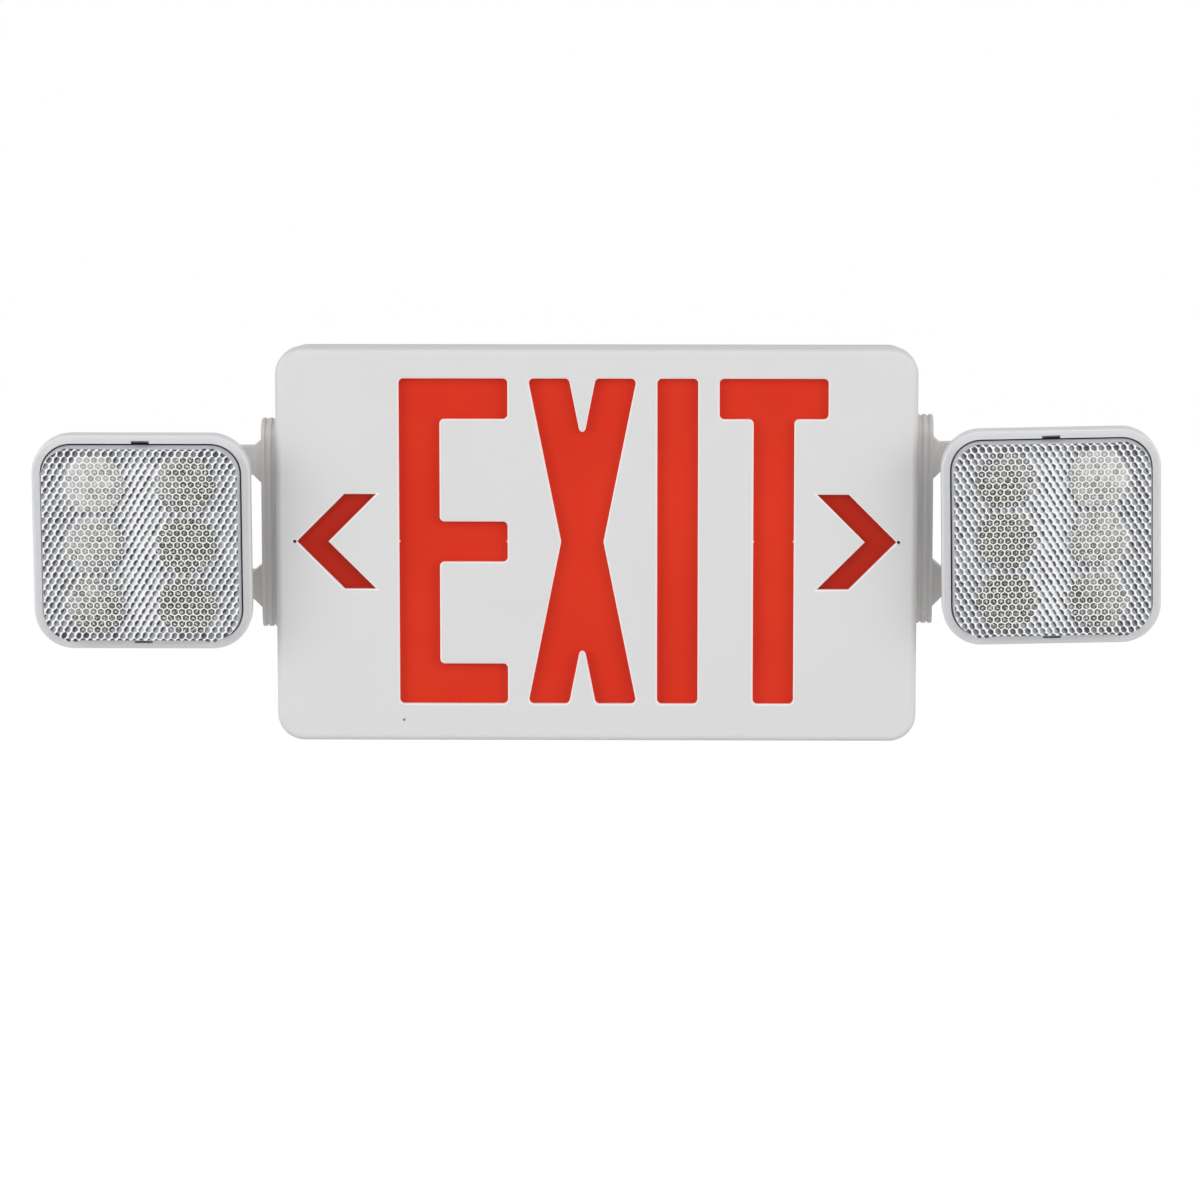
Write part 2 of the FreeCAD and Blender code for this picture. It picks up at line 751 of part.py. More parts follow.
def make_control_board():
    ways = [rod(name, "plate_screw_radius + run_gap", "board_thick * 3",
                (x, f"-({BOARD_BACK} - board_thick)", z), "-y") for name, x, z in plate_studs("board_way")]
    sheet_of_board = block("board_blank", ("board_wide", "board_thick", "board_tall"),
                           (f"{BOARD_LEFT} + board_wide / 2", f"-({BOARD_BACK} + board_thick / 2)",
                            f"{BOARD_LOW} + board_tall / 2"))
    keep("control_board", cut("control_board", sheet_of_board, ways))
    screws = [screw(name, "plate_screw_radius", "screw_head_radius", "screw_head", "board_stand",
                    (x, f"-({BOARD_FRONT} + screw_head)", z), "+y")
              for name, x, z in plate_studs("board_screw")]
    keep("board_screws", group("board_screws", screws))


def make_board_parts():
    """The charger's transformer, capacitors, terminal block, fuse and relay."""
    core = on_board("transformer_core", ("core_wide", "core_deep", "core_tall"), "core_x", "core_z")
    coil = on_board("transformer_coil", ("coil_side", "coil_side", "coil_side"), "core_x", "core_z")
    keep("transformer", fuse("transformer", [core, coil]))
    cans = [rod(f"can_{i}", "can_radius", "can_tall",
                (f"{BOARD_LEFT} + can_x + {i} * can_pitch", f"-{BOARD_FRONT}", f"{BOARD_LOW} + can_z"), "-y")
            for i in range(2)]
    keep("capacitors", group("capacitors", cans))
    case = on_board("terminal_case", ("terminal_wide", "terminal_deep", "terminal_tall"),
                    "terminal_x", "terminal_z")
    ways = [rod(f"terminal_way_{i}", "terminal_way_radius", "terminal_wide - 2 * bite",
                (f"{BOARD_LEFT} + terminal_x - terminal_wide / 2 - bite",
                 f"-({BOARD_FRONT} + terminal_deep / 2)",
                 f"{BOARD_LOW} + terminal_z + {i - 1} * terminal_pitch"), "+x") for i in range(3)]
    keep("terminal_block", cut("terminal_block", case, ways))
    keep("relay", on_board("relay", ("relay_wide", "relay_side", "relay_side"), "relay_x", "relay_z"))
    tube = rod("fuse_tube", "fuse_radius", "fuse_long",
               (f"{BOARD_LEFT} + fuse_x", f"-({BOARD_FRONT} + clip_side / 2)",
                 f"{BOARD_LOW} + fuse_z"), "+x")
    clips = [on_board(f"fuse_clip_{i}", ("clip_wide", "clip_side", "clip_side"),
                      f"(fuse_x + clip_wide * 1.5 + {i} * (fuse_long - 3 * clip_wide))", "fuse_z")
             for i in range(2)]
    keep("fuse", fuse("fuse", [tube] + clips))


def make_battery():
    """Three cells in one sleeve, and the strap that holds them to the back plate."""
    middle = "-(back_skin + cell_radius)"
    cells = [rod(f"cell_{i}", "cell_radius", "cell_long",
                 (CELL_LEFT, middle, f"{CELL_LOW} + cell_radius * {2 * i + 1} - {i} * fit_gap"), "+x")
             for i in range(CELLS)]
    keep("battery_pack", fuse("battery_pack", cells))
    tall = f"{2 * CELLS} * cell_radius - {CELLS - 1} * fit_gap"
    centre_z = f"{CELL_LOW} + ({tall}) / 2"
    centre_x = f"{CELL_LEFT} + cell_long / 2"
    outer = block("strap_outer", ("strap_wide", "2 * cell_radius + fit_gap + strap_thick",
                                  f"{tall} + 2 * (fit_gap + strap_thick)"),
                  (centre_x, "-(back_skin + cell_radius + (fit_gap + strap_thick) / 2)", centre_z))
    room = block("strap_room", ("strap_wide * 2", "2 * cell_radius + fit_gap + bite",
                                f"{tall} + 2 * fit_gap"),
                 (centre_x, "-(back_skin + cell_radius + (fit_gap - bite) / 2)", centre_z))
    feet = [block(f"strap_foot_{i}", ("strap_wide", "strap_thick", "strap_foot"),
                  (centre_x, "-(back_skin + strap_thick / 2)",
                   f"{centre_z} + {end} * (({tall}) / 2 + fit_gap + (strap_thick + strap_foot) / 2)"))
            for i, end in enumerate((-1, 1))]
    keep("battery_strap", fuse("battery_strap", [cut("strap_bridge", outer, [room])] + feet))


def make_bottom_controls():
    """The test button in the bottom wall, the switch that it presses, and the charge lamp."""
    outside = f"-{wall_at('case_tall', 'swivel_deep')}"
    button_low = f"({outside} + button_sink)"
    cap = rod("button_cap", "button_radius", f"-({INNER_Z}) - {button_low} + fit_gap + button_flange",
              (BUTTON_X, "-swivel_deep", button_low))
    flange = rod("button_collar", "button_radius + button_flange", "button_flange",
                 (BUTTON_X, "-swivel_deep", f"-{INNER_Z} + fit_gap"))
    keep("test_button", fuse("test_button", [cap, flange]))
    switch_low = f"(-{INNER_Z} + fit_gap + button_flange + button_travel + fit_gap)"
    case = block("switch_case",
                 ("switch_wide", f"swivel_deep + switch_wide / 2 - {BOARD_FRONT}", "switch_tall"),
                 (BUTTON_X, f"-({BOARD_FRONT} + swivel_deep + switch_wide / 2) / 2",
                  f"{switch_low} + switch_tall / 2"))
    keep("test_switch", case)
    lamp = rod("lamp_lens", "lamp_radius", "lamp_long",
               (LAMP_X, "-swivel_deep", f"{outside} + button_sink"))
    foot = block("lamp_foot",
                 ("lamp_foot_wide", f"swivel_deep + lamp_radius - {BOARD_FRONT}", "lamp_foot_tall"),
                 (LAMP_X, f"-({BOARD_FRONT} + swivel_deep + lamp_radius) / 2",
                  f"{outside} + button_sink + lamp_long - lamp_foot_tall / 2"))
    keep("charge_indicator", fuse("charge_indicator", [lamp, foot]))


# ---- the side brackets ---------------------------------------------------------------------

BASE_FACE = "(case_wide / 2 + base_out)"


def lean_placement(name, side):
    """The turn of a side's arms and head about the middle of its base plate's outer face."""
    centre = Vector(side * (size("case_wide") / 2 + size("base_out")), -size("swivel_deep"),
                    size(f"{name}_base_rise"))
    turn = Rotation(Vector(0, -1, 0), side * size(f"{name}_lean"))
    return Placement(centre, turn)


def swivel_placement(name, side):
    """The frame of a side's swivel: its origin is where the pan and tilt axes cross."""
    return lean_placement(name, side).multiply(Placement(Vector(side * size("arm_reach"), 0, 0), Rotation()))


def head_placement(name, side):
    tilt = Rotation(Vector(1, 0, 0), size("head_tilt"))
    return swivel_placement(name, side).multiply(Placement(Vector(), tilt))


def make_groove_ring(label, side, depth, rise):
    """The cutter of a groove round the base plate, at a depth behind the plate's outer face."""
    ring = new_body(label)
    outline = new_sketch(ring, label + "_outline", "YZ_Plane")
    add_rounded_rectangle(outline, "base_deep + 4 * bite", "base_tall + 4 * bite", "base_corner + 2 * bite")
    add_rounded_rectangle(outline, "base_deep - base_groove", "base_tall - base_groove",
                          "base_corner - base_groove / 2")
    pad(ring, outline, "base_groove", reverse=side < 0)
    bind_base(ring, (f"{side} * ({BASE_FACE} - ({depth}))", "-swivel_deep", rise))
    return ring


def make_base_plate(name, side):
    """The rounded base plate in three layers, cut to the case's drafted side."""
    body = new_body(f"{name}_base_plate")
    outline = new_sketch(body, f"{name}_base_outline", "YZ_Plane")
    add_rounded_rectangle(outline, "base_deep", "base_tall", "base_corner")
    inside = f"({INNER_X} + frame_wall / 4)"
    pad(body, outline, f"{BASE_FACE} - {inside}", reverse=side < 0)
    bind_base(body, (f"{side} * {inside}", "-swivel_deep", f"{name}_base_rise"))
    rings = []
    for i in range(2):
        depth = f"base_lip + base_groove + {i} * (base_layer + base_groove)"
        rings.append(make_groove_ring(f"{name}_groove_ring_{i}", side, depth, f"{name}_base_rise"))
    return cut(f"{name}_grooved_base", body, rings + [doc.getObject("frame_moulding")])


def make_arms(name, side):
    """Two arms that flare where they leave the base plate, in the frame of the plate's face."""
    pieces = []
    for i, up in enumerate((-1, 1)):
        z = f"{up} * arm_pitch / 2"
        bar = block(f"{name}_arm_bar_{i}", ("arm_reach + bite", "arm_deep", "arm_tall"),
                    (f"{side} * (arm_reach - bite) / 2", "0", z))
        tip = rod(f"{name}_arm_tip_{i}", "arm_tip_radius", "arm_tall",
                  (f"{side} * arm_reach", "0", f"{z} - arm_tall / 2"))
        flare = doc.addObject("Part::Wedge", f"{name}_flare_{i}")
        flare.Placement = Placement(Vector(), Rotation(Vector(0, 0, 1), -90 * side))
        bind(flare, Ymin="-bite", Ymax="flare_out", Xmin="-flare_deep / 2", Xmax="flare_deep / 2",
             X2min="-arm_deep / 2", X2max="arm_deep / 2", Zmin="-flare_tall / 2", Zmax="flare_tall / 2",
             Z2min="-arm_tall / 2", Z2max="arm_tall / 2")
        bind(flare, Placement__Base__z=z)
        pieces += [bar, tip, flare]
    arms = fuse(f"{name}_arms_whole", pieces)
    ways = [rod(f"{name}_pin_way_{i}", "pin_radius + run_gap", "arm_tall * 2",
                (f"{side} * arm_reach", "0", f"{up} * arm_pitch / 2 - arm_tall"))
            for i, up in enumerate((-1, 1))]
    bored = cut(f"{name}_arms", arms, ways)
    bored.Placement = lean_placement(name, side)
    return bored


def make_bracket(name, side):
    solid = fuse(f"{name}_bracket_whole", [make_base_plate(name, side), make_arms(name, side)])
    start = f"{side} * ({wall_at('case_wide', 'swivel_deep')} - bite)"
    along = "+x" if side > 0 else "-x"
    rise = f"{name}_base_rise"
    ways = [rod(f"{name}_base_screw_way_{end + 2}", "screw_radius", "bite + base_out - base_lip",
                (start, "-swivel_deep", f"{rise} + {end} * base_screw_pitch / 2"), along) for end in (-1, 1)]
    ways.append(rod(f"{name}_base_lead_way", "lead_hole_radius", "bite + base_out - base_lip",
                    (start, "-swivel_deep", rise), along))
    keep(f"{name}_bracket", cut(f"{name}_bracket", solid, ways))
    screws = [screw(f"{name}_base_screw_{end + 2}", "screw_radius", "screw_head_radius", "screw_head",
                    "frame_wall + base_out - 2 * base_lip",
                     (f"{side} * ({INNER_X} - screw_head)", "-swivel_deep",
                     f"{rise} + {end} * base_screw_pitch / 2"),
                    along) for end in (-1, 1)]
    keep(f"{name}_bracket_screws", group(f"{name}_bracket_screws", screws))


# ---- the swivels, in the frame where the pan and tilt axes cross ---------------------------

BARREL_HALF = "(arm_pitch / 2 - arm_tall / 2 - fit_gap)"


def make_swivel(name, side):
    """The barrel that pans between the arms, and the two pins that it turns on."""
    barrel = rod(f"{name}_barrel", "barrel_radius", f"2 * {BARREL_HALF}", ("0", "0", f"-{BARREL_HALF}"))
    tools = [rod(f"{name}_bolt_way", "pin_radius + run_gap", "barrel_radius * 4",
                 ("-barrel_radius * 2", "0", "0"), "+x")]
    for i, out in enumerate((-1, 1)):
        tools.append(block(f"{name}_flat_{i}", ("barrel_radius", "barrel_radius * 3", "flat_tall"),
                           (f"{out} * (barrel_flat + barrel_radius / 2)", "0", "0")))
        tools.append(rod(f"{name}_pivot_bore_{i}", "pin_radius + run_gap", "pin_depth + bite",
                         ("0", "0", f"{out} * ({BARREL_HALF} - pin_depth / 2) - (pin_depth + bite) / 2")))
    made = cut(f"{name}_swivel", barrel, tools)
    made.Placement = swivel_placement(name, side)
    keep(f"{name}_swivel", made)
    pins = []
    for i, out in enumerate((-1, 1)):
        along = "-z" if out > 0 else "+z"
        pins.append(screw(f"{name}_pivot_pin_{i}", "pin_radius", "pin_cap_radius", "pin_cap",
                          "arm_tall + fit_gap + pin_depth - bite / 2",
                          ("0", "0", f"{out} * (arm_pitch / 2 + arm_tall / 2 + pin_cap)"), along))
    both = group(f"{name}_pivot_pins", pins)
    both.Placement = swivel_placement(name, side)
    keep(f"{name}_pivot_pins", both)


# ---- the lamp heads, in the same frame, turned down by the tilt ----------------------------

OPENING_WIDE = "(head_wide - 2 * rim_wide)"
OPENING_TALL = "(head_tall - 2 * rim_wide)"
OPENING_CORNER = "(head_corner - rim_wide)"
LENS_BACK = "(head_front - rim_wide)"
FLANGE_BACK = "(head_front - rim_wide - flange_thick)"
BAND_BACK = "(head_front - head_band)"
LAMP_BOARD_FRONT = "(head_front - rim_wide - flange_thick - cup_deep)"
LUG_INSIDE = "(barrel_flat + fit_gap)"


def make_shell(name):
    """A deep rim, a back that narrows to clear the arms, and two lugs for the tilt bolt."""
    body = new_body(f"{name}_shell_moulding")
    back = new_sketch(body, f"{name}_shell_back", offset="head_back")
    add_rounded_rectangle(back, "shell_back_wide", "shell_back_tall", "shell_back_corner")
    band = new_sketch(body, f"{name}_shell_band", offset=BAND_BACK)
    add_rounded_rectangle(band, "head_wide", "head_tall", "head_corner")
    loft(body, "Additive", [back, band], f"{name}_shell_taper")
    pad(body, band, "head_band")
    round_edges(body, f"{name}_shell_rounding", lies_at("Y", -size("head_front")), "shell_round")
    opening = new_sketch(body, f"{name}_shell_opening", offset="head_front")
    add_rounded_rectangle(opening, OPENING_WIDE, OPENING_TALL, OPENING_CORNER)
    pocket(body, opening, "rim_wide + flange_thick")
    room = new_sketch(body, f"{name}_shell_room", offset=BAND_BACK)
    inner_wide, inner_tall = f"({OPENING_WIDE} - 2 * seat_wide)", f"({OPENING_TALL} - 2 * seat_wide)"
    inner_corner = f"({OPENING_CORNER} - seat_wide)"
    add_rounded_rectangle(room, inner_wide, inner_tall, inner_corner)
    pocket(body, room, "head_band", reverse=True)
    deep = new_sketch(body, f"{name}_shell_floor", offset="head_back + shell_skin")
    add_rounded_rectangle(deep, "shell_back_wide - 2 * shell_skin", "shell_back_tall - 2 * shell_skin",
                          "shell_back_corner - shell_skin")
    loft(body, "Subtractive", [room, deep], f"{name}_shell_hollow")
    bind_base(body, ("0", "0", "-head_drop"))
    return body


def latches(label, gap, proud):
    """Blocks at the top and bottom of the opening: notches in the shell, or the lens's tabs, less a gap."""
    spans = (f"latch_wide - 2 * ({gap})", f"rim_wide - ({gap}) + ({proud})", f"latch_deep + bite - ({gap})")
    middle = f"-(head_front - (rim_wide - ({gap}) - ({proud})) / 2)"
    out = f"({OPENING_TALL} / 2 + (latch_deep - bite - ({gap})) / 2)"
    return [block(f"{label}_{i}", spans, ("0", middle, f"{up} * {out} - head_drop"))
            for i, up in enumerate((-1, 1))]


def make_head_shell(name, placement):
    """The shell with its two lugs behind and four posts for the lamp board inside."""
    pieces = [make_shell(name)]
    for i, out in enumerate((-1, 1)):
        middle = f"{out} * ({LUG_INSIDE} + lug_thick / 2)"
        pieces.append(block(f"{name}_lug_{i}", ("lug_thick", "head_back + bite", "2 * lug_radius"),
                            (middle, "-(head_back + bite) / 2", "0")))
        pieces.append(rod(f"{name}_lug_end_{i}", "lug_radius", "lug_thick",
                          (f"{middle} - lug_thick / 2", "0", "0"), "+x"))
        for j, up in enumerate((-1, 1)):
            pieces.append(rod(f"{name}_post_{i}{j}", "post_radius",
                              f"{LAMP_BOARD_FRONT} - board_thick - head_back - shell_skin + bite",
                              (f"{out} * post_pitch_x / 2", "-(head_back + shell_skin - bite)",
                               f"{up} * post_pitch_z / 2 - head_drop"), "-y"))
    tools = [rod(f"{name}_lug_way", "pin_radius + run_gap", "barrel_radius * 4",
                 ("-barrel_radius * 2", "0", "0"), "+x")]
    tools += latches(f"{name}_notch", "0", "bite")
    shell = cut(f"{name}_head_shell", fuse(f"{name}_shell_whole", pieces), tools)
    shell.Placement = placement
    keep(f"{name}_head_shell", shell)


def make_lens(name, placement):
    """The clear lens: a drafted dish that stands proud of the rim."""
    body = new_body(f"{name}_lens_dish")
    outline = new_sketch(body, f"{name}_lens_outline", offset=LENS_BACK)
    add_rounded_rectangle(outline, f"{OPENING_WIDE} - 2 * fit_gap", f"{OPENING_TALL} - 2 * fit_gap",
                          f"{OPENING_CORNER} - fit_gap")
    pad(body, outline, "rim_wide + lens_out", taper="-lens_draft")
    lens_face = lies_at("Y", -size("head_front") - size("lens_out"))
    round_edges(body, f"{name}_lens_rounding", lens_face, "lens_round")
    hollow = new_sketch(body, f"{name}_lens_hollow", offset=LENS_BACK)
    add_rounded_rectangle(hollow, f"{OPENING_WIDE} - 2 * (fit_gap + lens_skin)",
                          f"{OPENING_TALL} - 2 * (fit_gap + lens_skin)",
                           f"{OPENING_CORNER} - fit_gap - lens_skin")
    pocket(body, hollow, "rim_wide + lens_out - lens_skin", reverse=True, taper="-lens_draft")
    bind_base(body, ("0", "0", "-head_drop"))
    lens = fuse(f"{name}_lens_whole", [body] + latches(f"{name}_tab", "fit_gap", "0"))
    lens.Placement = placement
    keep(f"{name}_lens", lens)


def lamp_places():
    """The middles of the six lamps: two columns and three rows."""
    return [(i, j, f"{i - 0.5} * lamp_pitch_x", f"{j - 1} * lamp_pitch_z - head_drop")
            for i in range(2) for j in range(3)]


def make_lamps(name, placement):
    """The reflector with six cups, the lamp board behind it and a chip in each cup."""
    flange = slab(f"{name}_flange", f"{OPENING_WIDE} - 2 * fit_gap", f"{OPENING_TALL} - 2 * fit_gap",
                  "flange_thick", f"{OPENING_CORNER} - fit_gap", ("0", f"-{FLANGE_BACK}", "-head_drop"))
    outsides, insides, chips = [], [], []
    for i, j, x, z in lamp_places():
        outsides.append(taper_rod(f"{name}_cup_{i}{j}", "cup_base_radius + cup_skin", "cup_radius - cup_skin",
                                  "cup_deep + flange_thick / 2", (x, f"-{LAMP_BOARD_FRONT}", z)))
        insides.append(taper_rod(f"{name}_cup_room_{i}{j}", "cup_base_radius", "cup_radius",
                                 "cup_deep + flange_thick", (x, f"-{LAMP_BOARD_FRONT}", z)))
        base = block(f"{name}_chip_base_{i}{j}", ("chip_wide", "chip_thick", "chip_wide"),
                     (x, f"-({LAMP_BOARD_FRONT} + chip_thick / 2)", z))
        dome = rod(f"{name}_chip_dome_{i}{j}", "chip_wide * 0.4", "chip_thick * 1.8",
                   (x, f"-{LAMP_BOARD_FRONT}", z), "-y")
        chips.append(fuse(f"{name}_chip_{i}{j}", [base, dome]))
    reflector = cut(f"{name}_reflector", fuse(f"{name}_cups", [flange] + outsides), insides)
    reflector.Placement = placement
    keep(f"{name}_reflector", reflector)
    lamps = group(f"{name}_head_leds", chips)
    lamps.Placement = placement
    keep(f"{name}_head_leds", lamps)
    board = slab(f"{name}_lamp_board", "lamp_board_wide", "lamp_board_tall", "board_thick",
                 "lamp_board_corner")
    seat = (size("head_front") - size("rim_wide") - size("flange_thick") - size("cup_deep")
            - size("board_thick"))
    board.Placement = placement.multiply(Placement(Vector(0, -seat, -size("head_drop")), Rotation()))
    keep(f"{name}_lamp_board", board)


def make_tilt_bolt(name, side, placement):
    """The bolt that the head tilts on, entered from the outer side, and its nut."""
    inwards = "-x" if side > 0 else "+x"
    outside = f"({LUG_INSIDE} + lug_thick)"
    bolt = screw(f"{name}_tilt_bolt", "pin_radius", "pin_cap_radius", "bolt_head",
                 f"2 * {outside} + nut_thick + bite / 2",
                  (f"{side} * ({outside} + bolt_head)", "0", "0"), inwards)
    bolt.Placement = placement
    keep(f"{name}_tilt_bolt", bolt)
    hexagon = doc.addObject("Part::Prism", f"{name}_nut_blank")
    hexagon.Polygon = 6
    hexagon.Placement = aimed(inwards)
    bind(hexagon, Circumradius="nut_across / 2 / cos(30)", Height="nut_thick")
    bind_base(hexagon, (f"{-side} * {outside}", "0", "0"))
    way = rod(f"{name}_nut_way", "pin_radius + run_gap", "nut_thick * 3",
              (f"{-side} * ({outside} - nut_thick)", "0", "0"), inwards)
    nut = cut(f"{name}_tilt_nut", hexagon, [way])
    nut.Placement = placement
    keep(f"{name}_tilt_nut", nut)


# ---- the whole sign ------------------------------------------------------------------------

def make_side(name, side):
    make_bracket(name, side)
    make_swivel(name, side)
    placement = head_placement(name, side)
    make_head_shell(name, placement)
    make_lens(name, placement)
    make_lamps(name, placement)
    make_tilt_bolt(name, side, placement)


def check_all():
    """Stop if any object failed or any sub-part is not a sound closed solid."""
    for thing in doc.Objects:
        if "Invalid" in thing.State or "Error" in thing.State:
            raise RuntimeError(f"{thing.Name} failed: {thing.getStatusString()}")
    for label, made in nodes.items():
        shape = made.Shape
        if shape.isNull() or not shape.isValid() or not shape.Solids or shape.Volume <= 0:
            raise RuntimeError(f"{label} is not a valid solid")


def write_all():
    os.makedirs("parts", exist_ok=True)
    for label, made in nodes.items():
        made.Shape.exportStep(f"parts/{label}.step")
        print(f"{label}: {len(made.Shape.Solids)} solids, {made.Shape.Volume / 1000:.2f} cm3")


make_front_face()
make_red_panel()
make_housing_frame()
make_back_plate()
make_back_plate_screws()
make_light_strips()
make_control_board()
make_board_parts()
make_battery()
make_bottom_controls()
for side_name, side_sign in SIDES.items():
    make_side(side_name, side_sign)
doc.recompute()
check_all()
write_all()
for side_name, side_sign in SIDES.items():
    pivot = swivel_placement(side_name, side_sign)
    print(side_name, "pivot", pivot.Base, "pan axis", pivot.Rotation.multVec(Vector(0, 0, 1)),
          "tilt axis", pivot.Rotation.multVec(Vector(1, 0, 0)))
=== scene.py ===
import json
import math
import random

import bmesh
import bpy
from mathutils import Matrix, Vector


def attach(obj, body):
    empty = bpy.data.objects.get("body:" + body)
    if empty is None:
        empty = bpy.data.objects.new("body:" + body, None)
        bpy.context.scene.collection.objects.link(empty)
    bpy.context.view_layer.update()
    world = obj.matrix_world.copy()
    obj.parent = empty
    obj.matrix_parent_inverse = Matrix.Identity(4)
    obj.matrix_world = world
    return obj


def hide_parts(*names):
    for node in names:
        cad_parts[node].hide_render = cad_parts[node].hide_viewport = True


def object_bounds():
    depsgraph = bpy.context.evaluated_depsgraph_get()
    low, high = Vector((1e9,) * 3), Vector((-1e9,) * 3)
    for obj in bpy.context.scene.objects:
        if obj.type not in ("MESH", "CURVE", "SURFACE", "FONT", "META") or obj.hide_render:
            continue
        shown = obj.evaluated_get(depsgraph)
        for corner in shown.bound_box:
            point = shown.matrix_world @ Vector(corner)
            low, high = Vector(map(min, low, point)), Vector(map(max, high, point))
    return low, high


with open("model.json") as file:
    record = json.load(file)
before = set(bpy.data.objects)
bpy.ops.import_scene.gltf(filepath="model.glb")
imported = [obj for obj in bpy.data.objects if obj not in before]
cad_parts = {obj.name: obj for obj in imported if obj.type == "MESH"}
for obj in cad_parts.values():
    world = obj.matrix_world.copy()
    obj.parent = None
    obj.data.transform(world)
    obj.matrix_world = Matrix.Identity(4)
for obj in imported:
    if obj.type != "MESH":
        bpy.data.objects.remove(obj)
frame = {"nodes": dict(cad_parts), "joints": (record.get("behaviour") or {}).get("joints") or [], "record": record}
cad_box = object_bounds()

# The frame is in metres: +X to the right seen from the front, the lit face looks along -Y, +Z up.
NODES = frame["nodes"]
JOINTS = {joint["name"]: joint for joint in frame["joints"]}
SIDES = {"left": -1, "right": 1}
MM = 0.001

# The moulded plastics: a fine grain and a faint cloudiness.
GRAIN_SCALE = 5200.0
GRAIN_STRENGTH = 0.12
GRAIN_DEPTH = 0.02 * MM
CLOUD_SCALE = 38.0
ROUGH_SPREAD = 0.05
PLASTIC_IOR = 1.46

# The front cover: the flat that holds the legend's bevels, which carry a painted highlight, and the painted shade
# line under its lower edge.
COVER_WHITE = (0.735, 0.735, 0.735)
COVER_CLOUD = 0.0095
COVER_ROUGHNESS = 0.42
BEVEL_HIGHLIGHT = (0.95, 0.95, 0.95)
FLAT_HALF_X = 144.0 * MM
FLAT_HALF_Z = 86.0 * MM
FLAT_SOFT = 0.5 * MM
EDGE_SHADE = (0.05, 0.05, 0.05)
EDGE_SHADE_HALF = 139.5 * MM
EDGE_SHADE_SOFT = 3.0 * MM

# A small dark dot low in the cover.
DARK_DOT = (-90.4 * MM, -45.0 * MM, -82.6 * MM)
DARK_DOT_EDGE = 0.66 * MM
DARK_DOT_SOFT = 0.30 * MM
DARK_DOT_TONE = (0.20, 0.19, 0.19)

# The tongues of the cover between the X's legs.
LEGEND_RISE = 1.8 * MM
TONGUE_MIDDLE = -6.6 * MM
TONGUE_HALF = 2.4 * MM
TONGUE_TIP = 58.0 * MM
TONGUE_ROOT = 60.8 * MM
TONGUE_MORE = 6.9 * MM
TONGUE_NARROWS = 0.75

# The red panel: painted shade makes it darker behind the two chevrons than behind the word.
PANEL_DULL = (0.690, 0.030, 0.011)
PANEL_RED = (0.735, 0.038, 0.014)
PANEL_SHADE = (0.470, 0.020, 0.008)
WORD_HALF = 97.0 * MM
WORD_SOFT = 1.5 * MM
CHEVRON_HALF = 30.0 * MM
CHEVRON_SOFT = 2.0 * MM

# The dish of each lens.
LENS_SKIN = 2.0 * MM
LENS_ROUND = 0.6 * MM
LENS_OUT = 7.0 * MM
RIM_GAP = 0.3 * MM
LENS_CORNER_BACK = 14.2 * MM
LENS_CORNER_FRONT = 13.4 * MM
CORNER_STEPS = 12
ROUND_STEPS = 4
# The lens's material slots: the clear dish, the painted cells, and the painted shade in the rim gap.
DISH, CELLS, GAP_SHADE = range(3)

# The field of small hexagonal pillows on the dish, and the round zones where the lamps behind are painted on the
# pillows.
CELL_PITCH = 3.43 * MM
ROW_PITCH = 2.86 * MM
CELL_RISE = 0.42 * MM
CELL_RINGS = (0.36, 0.70, 1.0)
FIELD_INSET = 0.6 * LENS_ROUND
LAMP_ZONE = 13.8 * MM
LAMP_ZONE_SOFT = 2.5 * MM
BARELY = 1e-12

# How strongly a pillow shows its crescent of painted shade, the crescent's fade and its painted ring, and how that
# changes towards the lens's upper and lower ends, its middle, the case and the floor.
CRESCENT = {"plain": 0.71, "ends": 0.04, "inward": -0.03, "chance": 0.14}
FADE = {"plain": 0.50, "ends": -0.40, "middle": 0.36}
RING = {"plain": 0.92, "inward": 0.38, "down": 0.22, "chance": 0.14, "least": 0.30}
ENDS_FROM = 0.80
MIDDLE_TO = 0.35
DICE_SEEDS = {"left": 11, "right": 23}

# The crescent of painted shade within a pillow, whose half width is 1; the white round it is painted light.
CRESCENT_LEAN = math.radians(31.0)
CRESCENT_SHIFT = (0.14, -0.04, 0.0)
CRESCENT_LONG = 1.02
CRESCENT_WIDE = 0.78
CELL_WHITE = (0.99, 0.99, 1.0)
CELL_GREY = (0.38, 0.40, 0.43)
CELL_DARK = (0.012, 0.010, 0.020)

# The ring and its olive middle, painted where a lamp lies behind a pillow as the lamp seen through it.
RING_REACH = 0.60
RING_DARK = (0.012, 0.013, 0.014)
RING_FAINT = (0.78, 0.79, 0.78)
OLIVE_DARK = (0.16, 0.16, 0.09)
OLIVE_PALE = (0.62, 0.63, 0.58)
WALL_WHITE = (0.98, 0.98, 1.0)

# The plastics by material slot: colour, roughness, strength of the grain, share of cloud.
PLASTICS = {
    "base_white": ((0.72, 0.70, 0.685), 0.48, 1.3, 0.02),
    "head_white": ((0.76, 0.765, 0.765), 0.36, 0.6, 0.012),
    "core_black": ((0.03, 0.03, 0.032), 0.5, 1.5, 0.02),
    "led_yellow": ((0.80, 0.66, 0.20), 0.35, 1.0, 0.02),
    "led_red": ((0.62, 0.03, 0.02), 0.2, 0.3, 0.02),
    "sleeve_blue": ((0.03, 0.10, 0.34), 0.28, 0.8, 0.02),
    "terminal_green": ((0.04, 0.24, 0.10), 0.4, 1.0, 0.02),
    "fuse_glass": ((0.80, 0.84, 0.84), 0.08, 0.2, 0.02),
    "button_red": ((0.55, 0.03, 0.02), 0.3, 0.5, 0.02),
}

